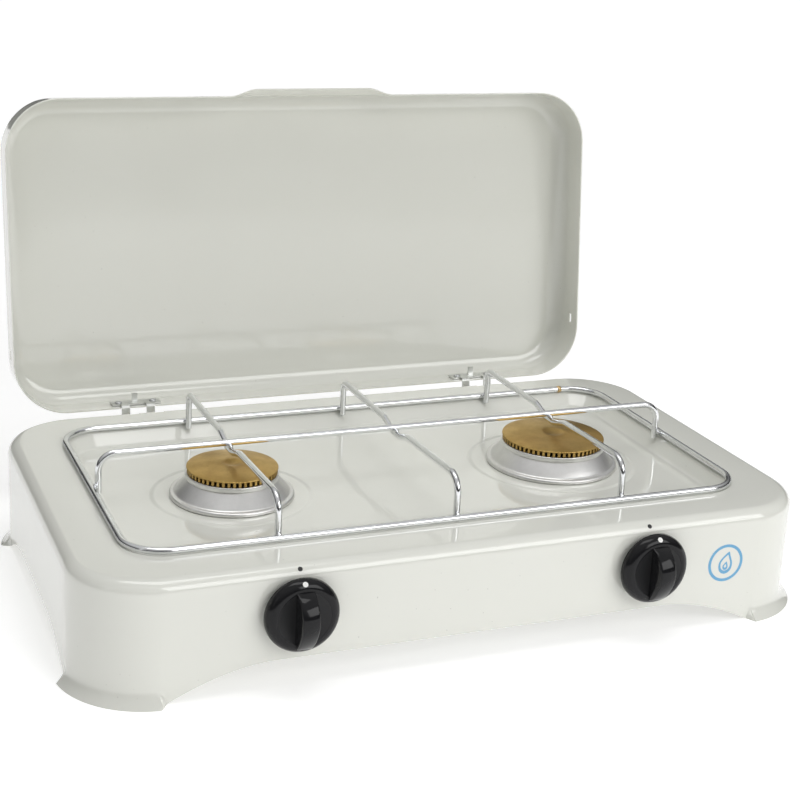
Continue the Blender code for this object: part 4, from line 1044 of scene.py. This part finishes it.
# %% [markdown]
# ## Rivets, hinges and the gas train
# Rivet heads come from the bead tree.  The other working parts are shown as they are,
# with their finish and a small round on their edges.

# %% Rivets
def make_rivets():
    wall = BODY_HALF[1]
    for side, sign in SIDES:
        spots = [sign * HINGE_X + arm * BRACKET_RIVET_X for arm in (-1, 1)]
        nodes = [f"bracket_rivet_{side}_{end}" for end in "ab"]
        heads = [(x, wall + GAP, BRACKET_RIVET_Z) for x in spots]
        tails = [(x, wall - SHEET - 2.1 * MM, BRACKET_RIVET_Z) for x in spots]
        part = grown(f"bracket_rivets_{side}", points_mesh("spots", heads + tails), BEADS,
                     {"Size": (3.0 * MM, 1.4 * MM, 3.0 * MM), "Unevenness": 1.03, "Seed": 2,
                      "Material": LOOK["steel"]})
        dress(part, "steel", "stove", nodes)
        nodes = [f"lid_rivet_{side}_{end}" for end in ("inner", "outer")]
        spots = [sign * HINGE_X + arm * LID_RIVET_X for arm in (-1, 1)]
        heads = [(x, LID_BACK_Y + GAP, LID_RIVET_Z) for x in spots]
        tails = [(x, LID_BACK_Y - LID_SHEET - 1.7 * MM, LID_RIVET_Z) for x in spots]
        part = grown(f"lid_rivets_{side}", points_mesh("spots", heads + tails), BEADS,
                     {"Size": (2.6 * MM, 1.2 * MM, 2.6 * MM), "Unevenness": 1.03, "Seed": 3,
                      "Material": LOOK["steel"]})
        part.data.transform(OPEN_LID)
        dress(part, "steel", "lid", nodes)


make_rivets()
print("rivets:", [name for name in made if "rivets" in name])

# %% Working parts shown as packed
PLAIN = {"gas_rail": "steel", "hose_inlet": "fitting", "inlet_nut": "fitting"}
for side, sign in SIDES:
    for start, look in (("burner_nut", "steel"), ("mixing_tube", "steel"),
                        ("tap_spindle", "steel"), ("tap_nut", "steel"), ("hinge_pin", "steel"),
                        ("gas_tap", "fitting"), ("gas_jet", "fitting"), ("tap_plug", "fitting"),
                        ("hinge_plate", "plate"), ("hinge_bracket", "plate")):
        PLAIN[f"{start}_{side}"] = look
for node, look in PLAIN.items():
    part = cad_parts[node]
    part.data.materials.clear()
    part.data.materials.append(LOOK[look])
    change = part.modifiers.new("round", "BEVEL")
    change.width = 0.15 * MM
    change.segments = 2
    change.limit_method = "ANGLE"
    change.angle_limit = math.radians(45)
print("working parts:", len(PLAIN))


# %% [markdown]
# ## Stage
# A plain pale floor, broad soft lights, and the camera at the stove's front left.

# %% Stage: floor, lights, camera
def make_floor():
    mesh = bpy.data.meshes.new("floor")
    half = 14.0
    mesh.from_pydata([(-half, -half, 0), (half, -half, 0), (half, half, 0), (-half, half, 0)],
                     [], [(0, 1, 2, 3)])
    floor = link("floor", mesh)
    f = Finish("pale_floor", (0.86, 0.86, 0.86), roughness=0.6)
    f.set(f.shader, "Emission Color", (1.0, 1.0, 1.0, 1.0))
    away = f.radius_about((0, 0, 0))
    f.set(f.shader, "Emission Strength", f.span(away, 0.5, 2.5, 0.44, 0.66))
    f.colour(f.mix(f.noise(0.8, 2.0), (0.85, 0.85, 0.85), (0.88, 0.88, 0.88)))
    mesh.materials.append(f.material)


def softbox(name, place, target, size, energy):
    light = bpy.data.lights.new(name, "AREA")
    light.shape = "RECTANGLE"
    light.size, light.size_y = size
    light.energy = energy
    thing = link(name, light)
    thing.location = place
    aim = Vector(target) - Vector(place)
    thing.rotation_euler = aim.to_track_quat("-Z", "Y").to_euler()


def make_camera():
    yaw, pitch, roll = (math.radians(a) for a in CAMERA_TURN)
    forward = Vector((math.sin(yaw) * math.cos(pitch), math.cos(yaw) * math.cos(pitch),
                      -math.sin(pitch)))
    right = Vector((math.cos(yaw), -math.sin(yaw), 0))
    up = right.cross(forward)
    tilted_right = math.cos(roll) * right + math.sin(roll) * up
    tilted_up = math.cos(roll) * up - math.sin(roll) * right
    data = bpy.data.cameras.new("camera")
    data.sensor_width = 36.0
    data.lens = CAMERA_LENS
    data.shift_x, data.shift_y = CAMERA_SHIFT
    data.clip_end = 60.0
    camera = link("camera", data)
    turn = Matrix((tilted_right, tilted_up, -forward)).transposed().to_4x4()
    camera.matrix_world = Matrix.Translation(CAMERA_PLACE) @ turn
    bpy.context.scene.camera = camera


def make_world():
    """A dim room, a little brighter overhead."""
    world = bpy.data.worlds.new("studio")
    bpy.context.scene.world = world
    world.use_nodes = True
    nodes, links = world.node_tree.nodes, world.node_tree.links
    back = nodes["Background"]
    back.inputs["Color"].default_value = (1.0, 1.0, 1.0, 1.0)
    where = nodes.new("ShaderNodeTexCoord")
    parts = nodes.new("ShaderNodeSeparateXYZ")
    ramp = nodes.new("ShaderNodeMapRange")
    links.new(where.outputs["Generated"], parts.inputs[0])
    links.new(parts.outputs["Z"], ramp.inputs["Value"])
    ramp.inputs["From Min"].default_value = 0.22
    ramp.inputs["From Max"].default_value = 0.80
    ramp.inputs["To Min"].default_value = 0.03
    ramp.inputs["To Max"].default_value = 0.60
    links.new(ramp.outputs["Result"], back.inputs["Strength"])


make_floor()
make_camera()
make_world()
bpy.context.scene.view_settings.view_transform = "Standard"
for light in LIGHTS:
    softbox(*light)
print("stage ready")


print("pieces made:", len(made))
